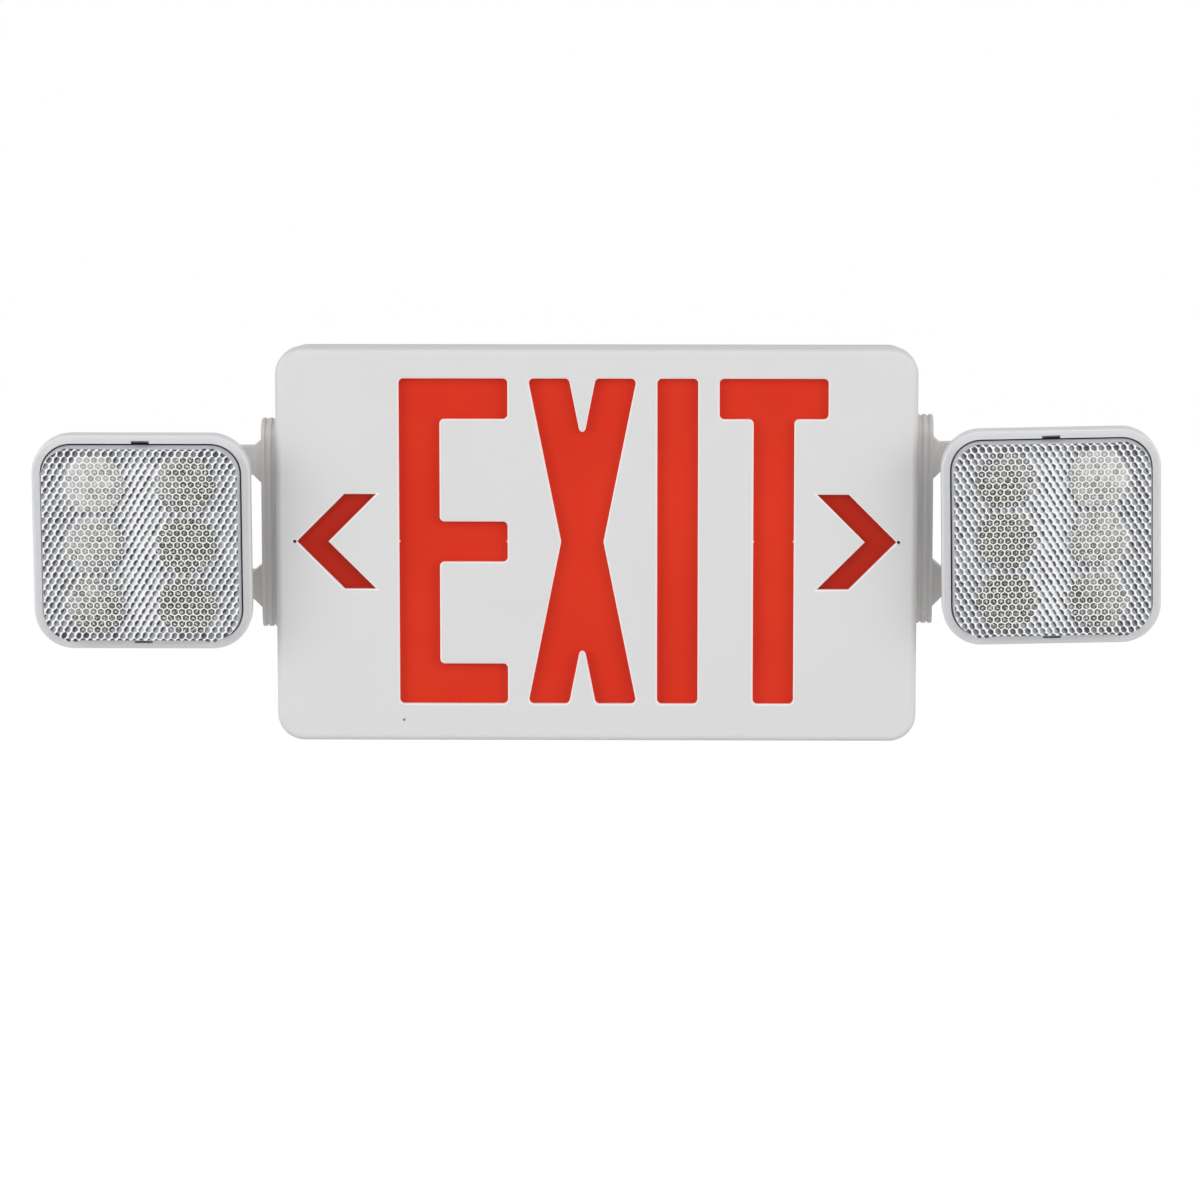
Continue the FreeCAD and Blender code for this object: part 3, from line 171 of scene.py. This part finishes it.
# The studio.
CAMERA_PLACE = (0.0334, -2.363, 0.3085)
CAMERA_DOWN = math.radians(8.2)
CAMERA_YAW = math.radians(-0.784)
CAMERA_LENS = 150.0
SENSOR_WIDTH = 36.0
WORLD_STRENGTH = 0.30
WHITE = (1.0, 1.0, 1.0, 1.0)
FLOOR_DROP = 0.55
FLOOR_HALF = 6.0
FLOOR_PALE = (0.80, 0.80, 0.80, 1.0)
FLOOR_GLOW = 0.75

# The lamps of the studio: place, width and height, watts.
SOFTBOXES = {
    "top_softbox": ((0.0, -1.9, 2.2), (2.2, 1.0), 15.0),
    "left_softbox": ((-2.2, -1.4, 0.6), (1.2, 1.6), 28.0),
    "right_softbox": ((2.2, -1.4, 0.6), (1.2, 1.6), 25.0),
    "front_softbox": ((0.3, -3.0, 0.9), (1.6, 1.2), 6.0),
}


# ---- shader helpers ------------------------------------------------------------------------

def colour(value):
    """A colour given as three numbers gets its alpha."""
    if isinstance(value, (tuple, list)) and len(value) == 3:
        return (*value, 1.0)
    return value


class Shader:
    """A node material under construction: short calls that add a node and wire its inputs."""

    def __init__(self, name):
        self.material = bpy.data.materials.new(name)
        self.material.use_nodes = True
        self.tree = self.material.node_tree
        self.tree.nodes.clear()
        self.output = self.tree.nodes.new("ShaderNodeOutputMaterial")

    def node(self, kind, **settings):
        made = self.tree.nodes.new(kind)
        for name, value in settings.items():
            setattr(made, name, value)
        return made

    def feed(self, socket, value):
        if isinstance(value, bpy.types.NodeSocket):
            self.tree.links.new(value, socket)
        elif value is not None:
            socket.default_value = value

    def math(self, operation, *values, clamp=False):
        made = self.node("ShaderNodeMath", operation=operation, use_clamp=clamp)
        for socket, value in zip(made.inputs, values):
            self.feed(socket, value)
        return made.outputs[0]

    def product(self, first, *others, clamp=False):
        for other in others:
            first = self.math("MULTIPLY", first, other, clamp=clamp)
        return first

    def vector(self, operation, *values):
        made = self.node("ShaderNodeVectorMath", operation=operation)
        for socket, value in zip(made.inputs, values):
            self.feed(socket, value)
        return made.outputs["Value" if operation in ("LENGTH", "DOT_PRODUCT", "DISTANCE") else "Vector"]

    def ramp(self, value, low, high):
        """0 at low, 1 at high, smooth between them; low may be above high."""
        made = self.node("ShaderNodeMapRange", interpolation_type="SMOOTHSTEP", clamp=True)
        self.feed(made.inputs["Value"], value)
        made.inputs["From Min"].default_value = min(low, high)
        made.inputs["From Max"].default_value = max(low, high)
        made.inputs["To Min"].default_value = 0.0 if low < high else 1.0
        made.inputs["To Max"].default_value = 1.0 if low < high else 0.0
        return made.outputs["Result"]

    def within(self, value, edge, soft):
        """1 below the edge, 0 above it, smooth over the soft width on either side."""
        return self.ramp(value, edge + soft, edge - soft)

    def spread(self, value, low, high):
        """low at 0, high at 1."""
        made = self.node("ShaderNodeMapRange")
        self.feed(made.inputs["Value"], value)
        made.inputs["To Min"].default_value = low
        made.inputs["To Max"].default_value = high
        return made.outputs["Result"]

    def mix(self, share, first, second):
        made = self.node("ShaderNodeMix", data_type="RGBA")
        self.feed(made.inputs["Factor"], share)
        self.feed(made.inputs["A"], colour(first))
        self.feed(made.inputs["B"], colour(second))
        return made.outputs["Result"]

    def place(self):
        return self.node("ShaderNodeTexCoord").outputs["Object"]

    def facing(self):
        return self.node("ShaderNodeTexCoord").outputs["Normal"]

    def noise_node(self, scale, detail, roughness, place=None):
        made = self.node("ShaderNodeTexNoise")
        self.feed(made.inputs["Vector"], place or self.place())
        made.inputs["Scale"].default_value = scale
        made.inputs["Detail"].default_value = detail
        made.inputs["Roughness"].default_value = roughness
        return made

    def noise(self, scale, detail=2.0, roughness=0.5, place=None):
        return self.noise_node(scale, detail, roughness, place).outputs["Fac"]

    def attribute(self, name):
        return self.node("ShaderNodeAttribute", attribute_name=name).outputs["Fac"]

    def part(self, value, axis):
        made = self.node("ShaderNodeSeparateXYZ")
        self.feed(made.inputs[0], value)
        return made.outputs[axis]

    def off_middle(self, value, axis):
        return self.math("ABSOLUTE", self.part(value, axis))

    def bump(self, height, strength, distance):
        made = self.node("ShaderNodeBump")
        made.inputs["Strength"].default_value = strength
        made.inputs["Distance"].default_value = distance
        self.feed(made.inputs["Height"], height)
        return made.outputs["Normal"]

    def surface(self, base, normal=None, **sockets):
        made = self.node("ShaderNodeBsdfPrincipled")
        self.feed(made.inputs["Base Color"], colour(base))
        self.feed(made.inputs["Normal"], normal)
        for name, value in sockets.items():
            self.feed(made.inputs[name.replace("_", " ")], value)
        self.tree.links.new(made.outputs["BSDF"], self.output.inputs["Surface"])
        return self.material


# ---- materials -----------------------------------------------------------------------------

def clouded(shader, base, cloud):
    broad = shader.noise(CLOUD_SCALE, 3.0)
    return shader.mix(shader.ramp(broad, 0.35, 0.65), [part * (1 - cloud) for part in base], base)


def grained(shader, shade, roughness, grain=1.0):
    """A moulded surface of the given shade, with a fine spark-eroded grain."""
    fine = shader.noise(GRAIN_SCALE, 2.0, 0.6)
    rough = shader.spread(fine, roughness - ROUGH_SPREAD, roughness + ROUGH_SPREAD)
    normal = shader.bump(fine, GRAIN_STRENGTH * grain, GRAIN_DEPTH)
    return shader.surface(shade, normal, Roughness=rough, IOR=PLASTIC_IOR)


def moulded(name, base, roughness, grain=1.0, cloud=0.02):
    shader = Shader(name)
    return grained(shader, clouded(shader, base, cloud), roughness, grain)


def front_cover():
    """The cover's satin plastic, paler with a painted highlight on the bevels round the legend, darker with a
    painted shade line under its lower edge.
    """
    shader = Shader("case_white")
    place, facing = shader.place(), shader.facing()
    shade = clouded(shader, COVER_WHITE, COVER_CLOUD)
    forward = shader.off_middle(facing, "Y")
    # Painted highlight: the bevels round the legend's openings are painted near white.
    bevel_highlight = shader.product(shader.ramp(forward, 0.40, 0.55), shader.ramp(forward, 0.97, 0.88),
                           shader.within(shader.off_middle(place, "X"), FLAT_HALF_X, FLAT_SOFT),
                           shader.within(shader.off_middle(place, "Z"), FLAT_HALF_Z, FLAT_SOFT))
    shade = shader.mix(bevel_highlight, shade, BEVEL_HIGHLIGHT)
    # Painted shade: a dark line on the downward-facing fillet under the cover's lower edge.
    edge = shader.product(shader.ramp(shader.part(facing, "Z"), -0.88, -0.94),
                          shader.ramp(forward, 0.02, 0.10),
                          shader.within(shader.off_middle(place, "X"), EDGE_SHADE_HALF, EDGE_SHADE_SOFT))
    shade = shader.mix(edge, shade, EDGE_SHADE)
    from_dark_dot = shader.vector("DISTANCE", place, DARK_DOT)
    shade = shader.mix(shader.within(from_dark_dot, DARK_DOT_EDGE, DARK_DOT_SOFT), shade, DARK_DOT_TONE)
    return grained(shader, shade, COVER_ROUGHNESS)


def diffuser():
    """The red panel behind the legend: a translucent sheet, a little uneven in depth, with painted shade behind
    the two chevrons.
    """
    shader = Shader("legend_red")
    place = shader.place()
    shade = shader.mix(shader.ramp(shader.noise(14.0), 0.3, 0.7), PANEL_DULL, PANEL_RED)
    word = shader.within(shader.off_middle(place, "X"), WORD_HALF, WORD_SOFT)
    level = shader.within(shader.off_middle(place, "Z"), CHEVRON_HALF, CHEVRON_SOFT)
    # Painted shade: the panel is darker behind the two chevrons at the ends.
    chevrons = shader.product(shader.math("SUBTRACT", 1.0, word), level)
    shade = shader.mix(chevrons, shade, PANEL_SHADE)
    normal = shader.bump(shader.noise(2600.0), 0.06, GRAIN_DEPTH)
    return shader.surface(shade, normal, Roughness=0.45, IOR=1.45, Specular_IOR_Level=0.15)


def metal(name, base, roughness, streak=(1.0, 1.0, 1.0)):
    """Plated or brushed metal with fine streaks."""
    shader = Shader(name)
    lines = shader.noise(1800.0, 3.0, 0.6, shader.vector("MULTIPLY", shader.place(), streak))
    rough = shader.spread(lines, roughness * 0.7, roughness * 1.3)
    shade = shader.mix(lines, [part * 0.88 for part in base], base)
    return shader.surface(shade, shader.bump(lines, 0.15, GRAIN_DEPTH), Roughness=rough, Metallic=1.0)


def board(name, base, track):
    """A circuit board: solder mask over a raised net of tracks."""
    shader = Shader(name)
    cells = shader.node("ShaderNodeTexVoronoi", feature="DISTANCE_TO_EDGE", distance="MANHATTAN")
    shader.feed(cells.inputs["Vector"], shader.place())
    cells.inputs["Scale"].default_value = 260.0
    lines = shader.ramp(cells.outputs["Distance"], 0.10, 0.06)
    shade = shader.mix(lines, base, track)
    return shader.surface(shade, shader.bump(lines, 0.4, 0.05 * MM), Roughness=0.35, IOR=1.5)


def clear_dish():
    """The clear plastic of the lens, seen in its side walls."""
    shader = Shader("lens_clear")
    ripple = shader.noise(900.0)
    shade = shader.mix(ripple, (0.66, 0.67, 0.76), (0.86, 0.87, 0.93))
    normal = shader.bump(ripple, 0.5, 0.15 * MM)
    return shader.surface(shade, normal, Roughness=0.12, IOR=1.5, Transmission_Weight=0.35)


def crescent_shade(shader, spot):
    """A plain pillow: painted white light, with a slanting oval of painted shade that is dark on the side away
    from the case.
    """
    lean_x, lean_z = math.sin(CRESCENT_LEAN), math.cos(CRESCENT_LEAN)
    shifted = shader.vector("ADD", spot, CRESCENT_SHIFT)
    along = shader.vector("DOT_PRODUCT", shifted, (lean_x, lean_z, 0.0))
    across = shader.vector("DOT_PRODUCT", shifted, (lean_z, -lean_x, 0.0))
    squares = [shader.math("POWER", shader.math("DIVIDE", reach, half), 2.0)
               for reach, half in ((along, CRESCENT_LONG), (across, CRESCENT_WIDE))]
    oval = shader.ramp(shader.math("SQRT", shader.math("ADD", *squares)), 1.06, 0.80)
    pale = shader.product(shader.ramp(across, -0.34, 0.34), shader.attribute("cell_fade"))
    kept = shader.math("SUBTRACT", 1.0, pale)
    depth = shader.product(oval, shader.attribute("cell_shade"), kept, clamp=True)
    shade = shader.mix(shader.ramp(depth, 0.02, 0.34), CELL_WHITE, CELL_GREY)
    return shader.mix(shader.ramp(depth, 0.28, 0.78), shade, CELL_DARK)


def ring_shade(shader, straight, spot):
    """A pillow before a lamp, painted as the lamp seen through it: a broken dark ring round an olive middle,
    inside a white hexagonal wall.
    """
    wide, tall = shader.off_middle(straight, "X"), shader.off_middle(straight, "Y")
    slope = shader.math("ADD", shader.product(wide, 0.5), shader.product(tall, 0.9))
    wall = shader.ramp(shader.math("MAXIMUM", wide, slope), 0.80, 0.92)
    off_ring = shader.math("ABSOLUTE", shader.math("SUBTRACT", shader.vector("LENGTH", spot), RING_REACH))
    strength = shader.attribute("cell_ring")
    broken = shader.ramp(shader.noise(1250.0, 1.0), 0.36, 0.48)
    ring = shader.product(shader.ramp(off_ring, 0.32, 0.14), broken, strength, clamp=True)
    shade = shader.mix(shader.ramp(shader.noise(900.0, 0.0), 0.40, 0.60), OLIVE_DARK, OLIVE_PALE)
    shade = shader.mix(shader.ramp(ring, 0.05, 0.60), shade, RING_DARK)
    shade = shader.mix(strength, RING_FAINT, shade)
    return shader.mix(wall, shade, WALL_WHITE)


def prism_cells(side):
    """The lens's face, with the light and shade seen through its prisms painted on. Within a pillow x runs from -1
    to 1 towards the case, and y from -1 to 1 upwards.
    """
    shader = Shader(f"{side}_lens_cells")
    chart = shader.node("ShaderNodeUVMap", uv_map="cell").outputs["UV"]
    straight = shader.vector("MULTIPLY", shader.vector("SUBTRACT", chart, (0.5, 0.5, 0.0)),
                             (-2.0 * SIDES[side], 2.0, 0.0))
    wobble = shader.vector("SUBTRACT", shader.noise_node(650.0, 2.0, 0.5).outputs["Color"], (0.5, 0.5, 0.5))
    spot = shader.vector("ADD", straight, shader.vector("MULTIPLY", wobble, (0.55, 0.55, 0.0)))
    base = shader.mix(shader.attribute("cell_lamp"),
                      crescent_shade(shader, spot), ring_shade(shader, straight, spot))
    return shader.surface(base, None, Roughness=0.16, IOR=1.5, Coat_Weight=0.35, Coat_Roughness=0.04)


def slot_materials():
    """The finish of each material slot."""
    made = {slot: moulded(slot, *finish) for slot, finish in PLASTICS.items()}
    made["case_white"] = front_cover()
    made["legend_red"] = diffuser()
    made["lens_clear"] = clear_dish()
    made["steel"] = metal("steel", (0.62, 0.62, 0.64), 0.32, (1.0, 6.0, 1.0))
    made["reflector_metal"] = metal("reflector_metal", (0.80, 0.80, 0.82), 0.10)
    made["board_green"] = board("board_green", (0.02, 0.12, 0.05), (0.04, 0.22, 0.09))
    made["board_white"] = board("board_white", (0.80, 0.80, 0.78), (0.72, 0.72, 0.70))
    return made


# ---- the outline of a lens -----------------------------------------------------------------

def rounded_loop(half_x, half_z, corner, y, centre_z):
    """Points round a rounded rectangle at one depth, from the right side's upper end anticlockwise."""
    points = []
    for middle_x, middle_z, start in ((half_x - corner, half_z - corner, 0),
                                      (corner - half_x, half_z - corner, 90),
                                      (corner - half_x, corner - half_z, 180),
                                      (half_x - corner, corner - half_z, 270)):
        for step in range(CORNER_STEPS + 1):
            angle = math.radians(start + 90 * step / CORNER_STEPS)
            points.append(Vector((middle_x + corner * math.cos(angle), y,
                                  centre_z + middle_z + corner * math.sin(angle))))
    return points


def less(a, b):
    return a[0] - b[0], a[1] - b[1]


def turn(a, b):
    """Above 0 where b points anticlockwise of a."""
    return a[0] * b[1] - a[1] * b[0]


def clip_convex(polygon, border):
    """The part of a convex polygon inside another, both as (x, z) pairs that run anticlockwise."""
    for i, start in enumerate(border):
        edge = less(border[(i + 1) % len(border)], start)
        sides = [turn(edge, less(point, start)) for point in polygon]
        inside = [side >= -BARELY for side in sides]
        kept = []
        for j, here in enumerate(polygon):
            before = polygon[j - 1]
            if inside[j] != inside[j - 1]:
                span = less(here, before)
                share = -sides[j - 1] / turn(edge, span)
                kept.append((before[0] + span[0] * share, before[1] + span[1] * share))
            if inside[j]:
                kept.append(here)
        polygon = kept
        if len(polygon) < 3:
            return []
    return polygon


# ---- the lens ------------------------------------------------------------------------------

class Lens:
    """One lens in its head's own frame: origin on the tilt axis, +X along it, -Y out of the lens."""

    def __init__(self, side):
        self.side = side
        self.to_world = self.head_matrix()
        points = self.local_points("lens")
        self.back = max(point.y for point in points)
        self.front = min(point.y for point in points)
        rear = [point for point in points if point.y > self.back - 0.05 * MM]
        low, high = min(point.z for point in rear), max(point.z for point in rear)
        self.centre_z = (low + high) / 2
        self.half_back = (max(point.x for point in rear), (high - low) / 2)
        draft = LENS_CORNER_BACK - LENS_CORNER_FRONT
        self.half_front = tuple(half - draft for half in self.half_back)
        self.lamps = self.lamp_centres()
        self.dice = random.Random(DICE_SEEDS[side])

    def head_matrix(self):
        joint = JOINTS[f"{self.side}_tilt"]
        right = Vector(joint["axis"]).normalized()
        faces = NODES[f"{self.side}_lens"].data.polygons
        flat = max((face for face in faces if face.normal.y < -0.9), key=lambda face: face.area)
        facing = (flat.normal - right * flat.normal.dot(right)).normalized()
        axes = Matrix((right, -facing, facing.cross(right))).transposed().to_4x4()
        return Matrix.Translation(Vector(joint["pos_m"])) @ axes

    def local_points(self, part):
        to_local = self.to_world.inverted()
        return [to_local @ vertex.co for vertex in NODES[f"{self.side}_{part}"].data.vertices]

    def lamp_centres(self):
        """The middles of the six lamps from the lens's middle, worked out from the chips."""
        points = self.local_points("head_leds")
        xs = (min(point.x for point in points), max(point.x for point in points))
        zs = (min(point.z for point in points), max(point.z for point in points))
        half_chip = (max(point.x for point in points if point.x < 0) - xs[0]) / 2
        columns = (xs[0] + half_chip, xs[1] - half_chip)
        rows = (zs[0] + half_chip, (zs[0] + zs[1]) / 2, zs[1] - half_chip)
        return [(x, z - self.centre_z) for x in columns for z in rows]

    def cell_look(self, x, z):
        """How much painted shade and lamp the pillow at a place from the lens's middle shows, as its four
        attributes.
        """
        nearest = min(math.hypot(x - lamp_x, z - lamp_z) for lamp_x, lamp_z in self.lamps)
        inward = -SIDES[self.side] * x / self.half_front[0]
        down = -z / self.half_front[1]
        ends = max(0.0, (abs(down) - ENDS_FROM) / (1.0 - ENDS_FROM))
        middle = max(0.0, 1.0 - abs(inward) / MIDDLE_TO)
        shade = CRESCENT["plain"] + CRESCENT["ends"] * ends + CRESCENT["inward"] * inward
        shade += CRESCENT["chance"] * self.dice.uniform(-1, 1)
        fade = FADE["plain"] + FADE["middle"] * middle + FADE["ends"] * ends
        ring = RING["plain"] + RING["inward"] * inward + RING["down"] * down
        ring += RING["chance"] * self.dice.uniform(-1, 1)
        return {"cell_shade": shade,
                "cell_fade": max(0.0, min(1.0, fade)),
                "cell_lamp": min(1.0, max(0.0, (LAMP_ZONE - nearest) / LAMP_ZONE_SOFT + 0.5)),
                "cell_ring": min(1.0, max(RING["least"], ring))}


def pillow(offset_x, offset_z):
    """How far a pillow stands out at a place measured from its middle, as a share of its rise."""
    reach = math.hypot(offset_x, offset_z) / (CELL_PITCH / 2)
    return max(0.0, 1.0 - reach * reach)


def cell_centres(half_x, half_z):
    rows = int(half_z / ROW_PITCH) + 1
    columns = int(half_x / CELL_PITCH) + 1
    for row in range(-rows, rows + 1):
        shift = CELL_PITCH / 2 if row % 2 else 0.0
        for column in range(-columns - 1, columns + 1):
            yield column * CELL_PITCH + shift, row * ROW_PITCH


def hexagon(middle_x, middle_z):
    half = CELL_PITCH / 2
    peak, shoulder = ROW_PITCH * 2 / 3, ROW_PITCH / 3
    corners = ((0, -peak), (half, -shoulder), (half, shoulder),
               (0, peak), (-half, shoulder), (-half, -shoulder))
    return [(middle_x + x, middle_z + z) for x, z in corners]


def pillow_rings(outline, cell):
    """A pillow's middle and its rings. A whole one is split at the middle of each side as well."""
    whole = len(outline) == 6
    centre = cell if whole else tuple(sum(values) / len(outline) for values in zip(*outline))
    rings = []
    for share in CELL_RINGS:
        ring = []
        for here, ahead in zip(outline, outline[1:] + outline[:1]):
            halfway = ((here[0] + ahead[0]) / 2, (here[1] + ahead[1]) / 2)
            for x, z in (here, halfway) if whole else (here,):
                ring.append((centre[0] + (x - centre[0]) * share, centre[1] + (z - centre[1]) * share))
        rings.append(ring)
    return centre, rings


class Field:
    """The field of pillows under construction in a bmesh."""

    def __init__(self, work, lens):
        self.work = work
        self.lens = lens
        self.chart = work.loops.layers.uv.new("cell")
        self.layers = {name: work.faces.layers.float.new(name)
                       for name in ("cell_shade", "cell_fade", "cell_lamp", "cell_ring")}
        self.known = {}

    def vertex(self, spot, cell):
        x, z = spot
        key = (round(x, 7), round(z, 7))
        if key not in self.known:
            y = self.lens.front - CELL_RISE * pillow(*less(spot, cell))
            self.known[key] = self.work.verts.new((x, y, z + self.lens.centre_z))
        return self.known[key]

    def panel(self, corners, cell, look):
        vertices = [self.vertex(spot, cell) for spot in corners]
        if len(set(vertices)) < 3:
            return
        apart = [vertex for i, vertex in enumerate(vertices) if vertex is not vertices[i - 1]]
        face = self.work.faces.new(apart)
        face.material_index = CELLS
        face.smooth = True
        for name, layer in self.layers.items():
            face[layer] = look[name]
        for loop in face.loops:
            place = loop.vert.co
            loop[self.chart].uv = (0.5 + (place.x - cell[0]) / CELL_PITCH,
                                   0.5 + (place.z - self.lens.centre_z - cell[1]) / CELL_PITCH)

    def fill(self):
        half_x, half_z = (half - FIELD_INSET for half in self.lens.half_front)
        border = [(point.x, point.z)
                  for point in rounded_loop(half_x, half_z, LENS_CORNER_FRONT - FIELD_INSET, 0.0, 0.0)]
        for cell in cell_centres(half_x, half_z):
            outline = clip_convex(hexagon(*cell), border)
            if not outline:
                continue
            look = self.lens.cell_look(*cell)
            centre, rings = pillow_rings(outline, cell)
            for i in range(len(rings[0])):
                self.panel([centre, rings[0][i - 1], rings[0][i]], cell, look)
                for inner, outer in zip(rings, rings[1:]):
                    self.panel([inner[i - 1], outer[i - 1], outer[i], inner[i]], cell, look)


def dish_loops(lens):
    """The loops of the dish's wall: rim gap, outer skin, rounded front edge and inner skin."""
    (back_x, back_z), (front_x, front_z) = lens.half_back, lens.half_front

    def loop(half, corner, inset, y):
        return rounded_loop(half[0] - inset, half[1] - inset, corner - inset, y, lens.centre_z)

    loops = [loop((back_x, back_z), LENS_CORNER_BACK, 0.0, lens.back),
             loop((back_x, back_z), LENS_CORNER_BACK, RIM_GAP, lens.front + LENS_OUT)]
    for step in range(ROUND_STEPS + 1):
        angle = math.radians(90 * step / ROUND_STEPS)
        loops.append(loop((front_x, front_z), LENS_CORNER_FRONT, LENS_ROUND * (1 - math.cos(angle)),
                          lens.front + LENS_ROUND * (1 - math.sin(angle))))
    inside = LENS_ROUND + LENS_SKIN
    loops.append(loop((front_x, front_z), LENS_CORNER_FRONT, inside, lens.front))
    loops.append(loop((front_x, front_z), LENS_CORNER_FRONT, inside, lens.front + LENS_SKIN))
    loops.append(loop((back_x, back_z), LENS_CORNER_BACK, LENS_SKIN, lens.back))
    return loops


def add_dish(work, lens):
    """The dish's closed side wall."""
    rings = [[work.verts.new(point) for point in loop] for loop in dish_loops(lens)]
    faces = []
    for a, b in zip(rings, rings[1:] + rings[:1]):
        for i in range(len(a)):
            j = (i + 1) % len(a)
            face = work.faces.new((a[i], a[j], b[j], b[i]))
            face.material_index = GAP_SHADE if a is rings[0] else DISH
            face.smooth = True
            faces.append(face)
    bmesh.ops.recalc_face_normals(work, faces=faces)


def make_lens(side, clear, gap):
    lens = Lens(side)
    work = bmesh.new()
    Field(work, lens).fill()
    add_dish(work, lens)
    mesh = bpy.data.meshes.new(f"{side}_prism_lens")
    work.to_mesh(mesh)
    work.free()
    mesh.transform(lens.to_world)
    for material in (clear, prism_cells(side), gap):
        mesh.materials.append(material)
    prism_lens = bpy.data.objects.new(f"{side}_prism_lens", mesh)
    bpy.context.scene.collection.objects.link(prism_lens)
    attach(prism_lens, f"{side}_head")
    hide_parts(f"{side}_lens")


# ---- the rest of the sign ------------------------------------------------------------------

def finish_nodes(materials):
    for part in frame["record"]["subparts"]:
        mesh = NODES[part["node"]].data
        mesh.materials.clear()
        mesh.materials.append(materials[part["material_slot"]])


def make_cover():
    """The cover with the two tongues between the X's legs drawn out to their full length."""
    mesh = NODES["front_face"].data.copy()
    for vertex in mesh.vertices:
        across, up = vertex.co.x - TONGUE_MIDDLE, vertex.co.z - LEGEND_RISE
        if abs(across) < TONGUE_HALF and TONGUE_TIP < abs(up) < TONGUE_ROOT:
            vertex.co.x = TONGUE_MIDDLE + across * TONGUE_NARROWS
            vertex.co.z -= math.copysign(TONGUE_MORE, up)
    cover = bpy.data.objects.new("front_cover", mesh)
    bpy.context.scene.collection.objects.link(cover)
    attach(cover, "root")
    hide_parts("front_face")


# ---- the studio ----------------------------------------------------------------------------

def white_to_the_eye(tree):
    """1 where the camera, a mirror or a pane looks, and 0 elsewhere."""
    paths = tree.nodes.new("ShaderNodeLightPath")
    seen = paths.outputs["Is Camera Ray"]
    for name in ("Is Glossy Ray", "Is Transmission Ray"):
        both = tree.nodes.new("ShaderNodeMath")
        both.operation = "ADD"
        both.use_clamp = True
        tree.links.new(seen, both.inputs[0])
        tree.links.new(paths.outputs[name], both.inputs[1])
        seen = both.outputs[0]
    return seen


def switch(tree, unseen, seen, output):
    """Join two shaders, the second for rays from the eye, and end in the output node."""
    mix = tree.nodes.new("ShaderNodeMixShader")
    tree.links.new(white_to_the_eye(tree), mix.inputs["Fac"])
    tree.links.new(unseen.outputs[0], mix.inputs[1])
    tree.links.new(seen.outputs[0], mix.inputs[2])
    tree.links.new(mix.outputs[0], output.inputs["Surface"])


def background(tree, strength):
    made = tree.nodes.new("ShaderNodeBackground")
    made.inputs["Strength"].default_value = strength
    made.inputs["Color"].default_value = WHITE
    return made


def make_world():
    world = bpy.data.worlds.new("studio")
    bpy.context.scene.world = world
    world.use_nodes = True
    tree = world.node_tree
    tree.nodes.clear()
    plain, white = background(tree, WORLD_STRENGTH), background(tree, 1.0)
    switch(tree, plain, white, tree.nodes.new("ShaderNodeOutputWorld"))


def make_floor(low):
    """A pale floor well below the sign, white to the eye and still open to a shadow."""
    corners = [(x, y, low) for x, y in ((-FLOOR_HALF, -FLOOR_HALF), (FLOOR_HALF, -FLOOR_HALF),
                                        (FLOOR_HALF, FLOOR_HALF), (-FLOOR_HALF, FLOOR_HALF))]
    mesh = bpy.data.meshes.new("floor")
    mesh.from_pydata(corners, [], [(0, 1, 2, 3)])
    floor = bpy.data.objects.new("floor", mesh)
    bpy.context.scene.collection.objects.link(floor)
    shader = Shader("floor")
    diffuse = shader.node("ShaderNodeBsdfDiffuse")
    diffuse.inputs["Color"].default_value = FLOOR_PALE
    glow = shader.node("ShaderNodeEmission")
    glow.inputs["Color"].default_value = WHITE
    glow.inputs["Strength"].default_value = FLOOR_GLOW
    lift = shader.node("ShaderNodeAddShader")
    shader.feed(lift.inputs[0], diffuse.outputs[0])
    shader.feed(lift.inputs[1], glow.outputs[0])
    switch(shader.tree, diffuse, lift, shader.output)
    mesh.materials.append(shader.material)


def aim(thing, place, look):
    """Put a camera or a lamp at a place, looking along a direction."""
    thing.location = place
    thing.rotation_mode = "QUATERNION"
    thing.rotation_quaternion = look.to_track_quat("-Z", "Y")
    bpy.context.scene.collection.objects.link(thing)


def make_softbox(name, place, size, power):
    data = bpy.data.lights.new(name, "AREA")
    data.shape = "RECTANGLE"
    data.size, data.size_y = size
    data.energy = power
    aim(bpy.data.objects.new(name, data), place, -Vector(place))


def make_camera():
    data = bpy.data.cameras.new("camera")
    data.lens = CAMERA_LENS
    data.sensor_width = SENSOR_WIDTH
    data.dof.use_dof = False
    camera = bpy.data.objects.new("camera", data)
    level = math.cos(CAMERA_DOWN)
    look = Vector((math.sin(CAMERA_YAW) * level, math.cos(CAMERA_YAW) * level, -math.sin(CAMERA_DOWN)))
    aim(camera, CAMERA_PLACE, look)
    bpy.context.scene.camera = camera


def make_studio():
    bpy.context.scene.view_settings.view_transform = "Standard"
    make_camera()
    make_world()
    make_floor(cad_box[0].z - FLOOR_DROP)
    for name, (place, size, power) in SOFTBOXES.items():
        make_softbox(name, place, size, power)


make_studio()
slots = slot_materials()
finish_nodes(slots)
make_cover()
# Painted shade: the wall of the narrow gap between the rim and the lens is near black.
gap_shade = moulded("lens_gap_shade", (0.035, 0.035, 0.045), 0.5)
for side_name in SIDES:
    make_lens(side_name, slots["lens_clear"], gap_shade)
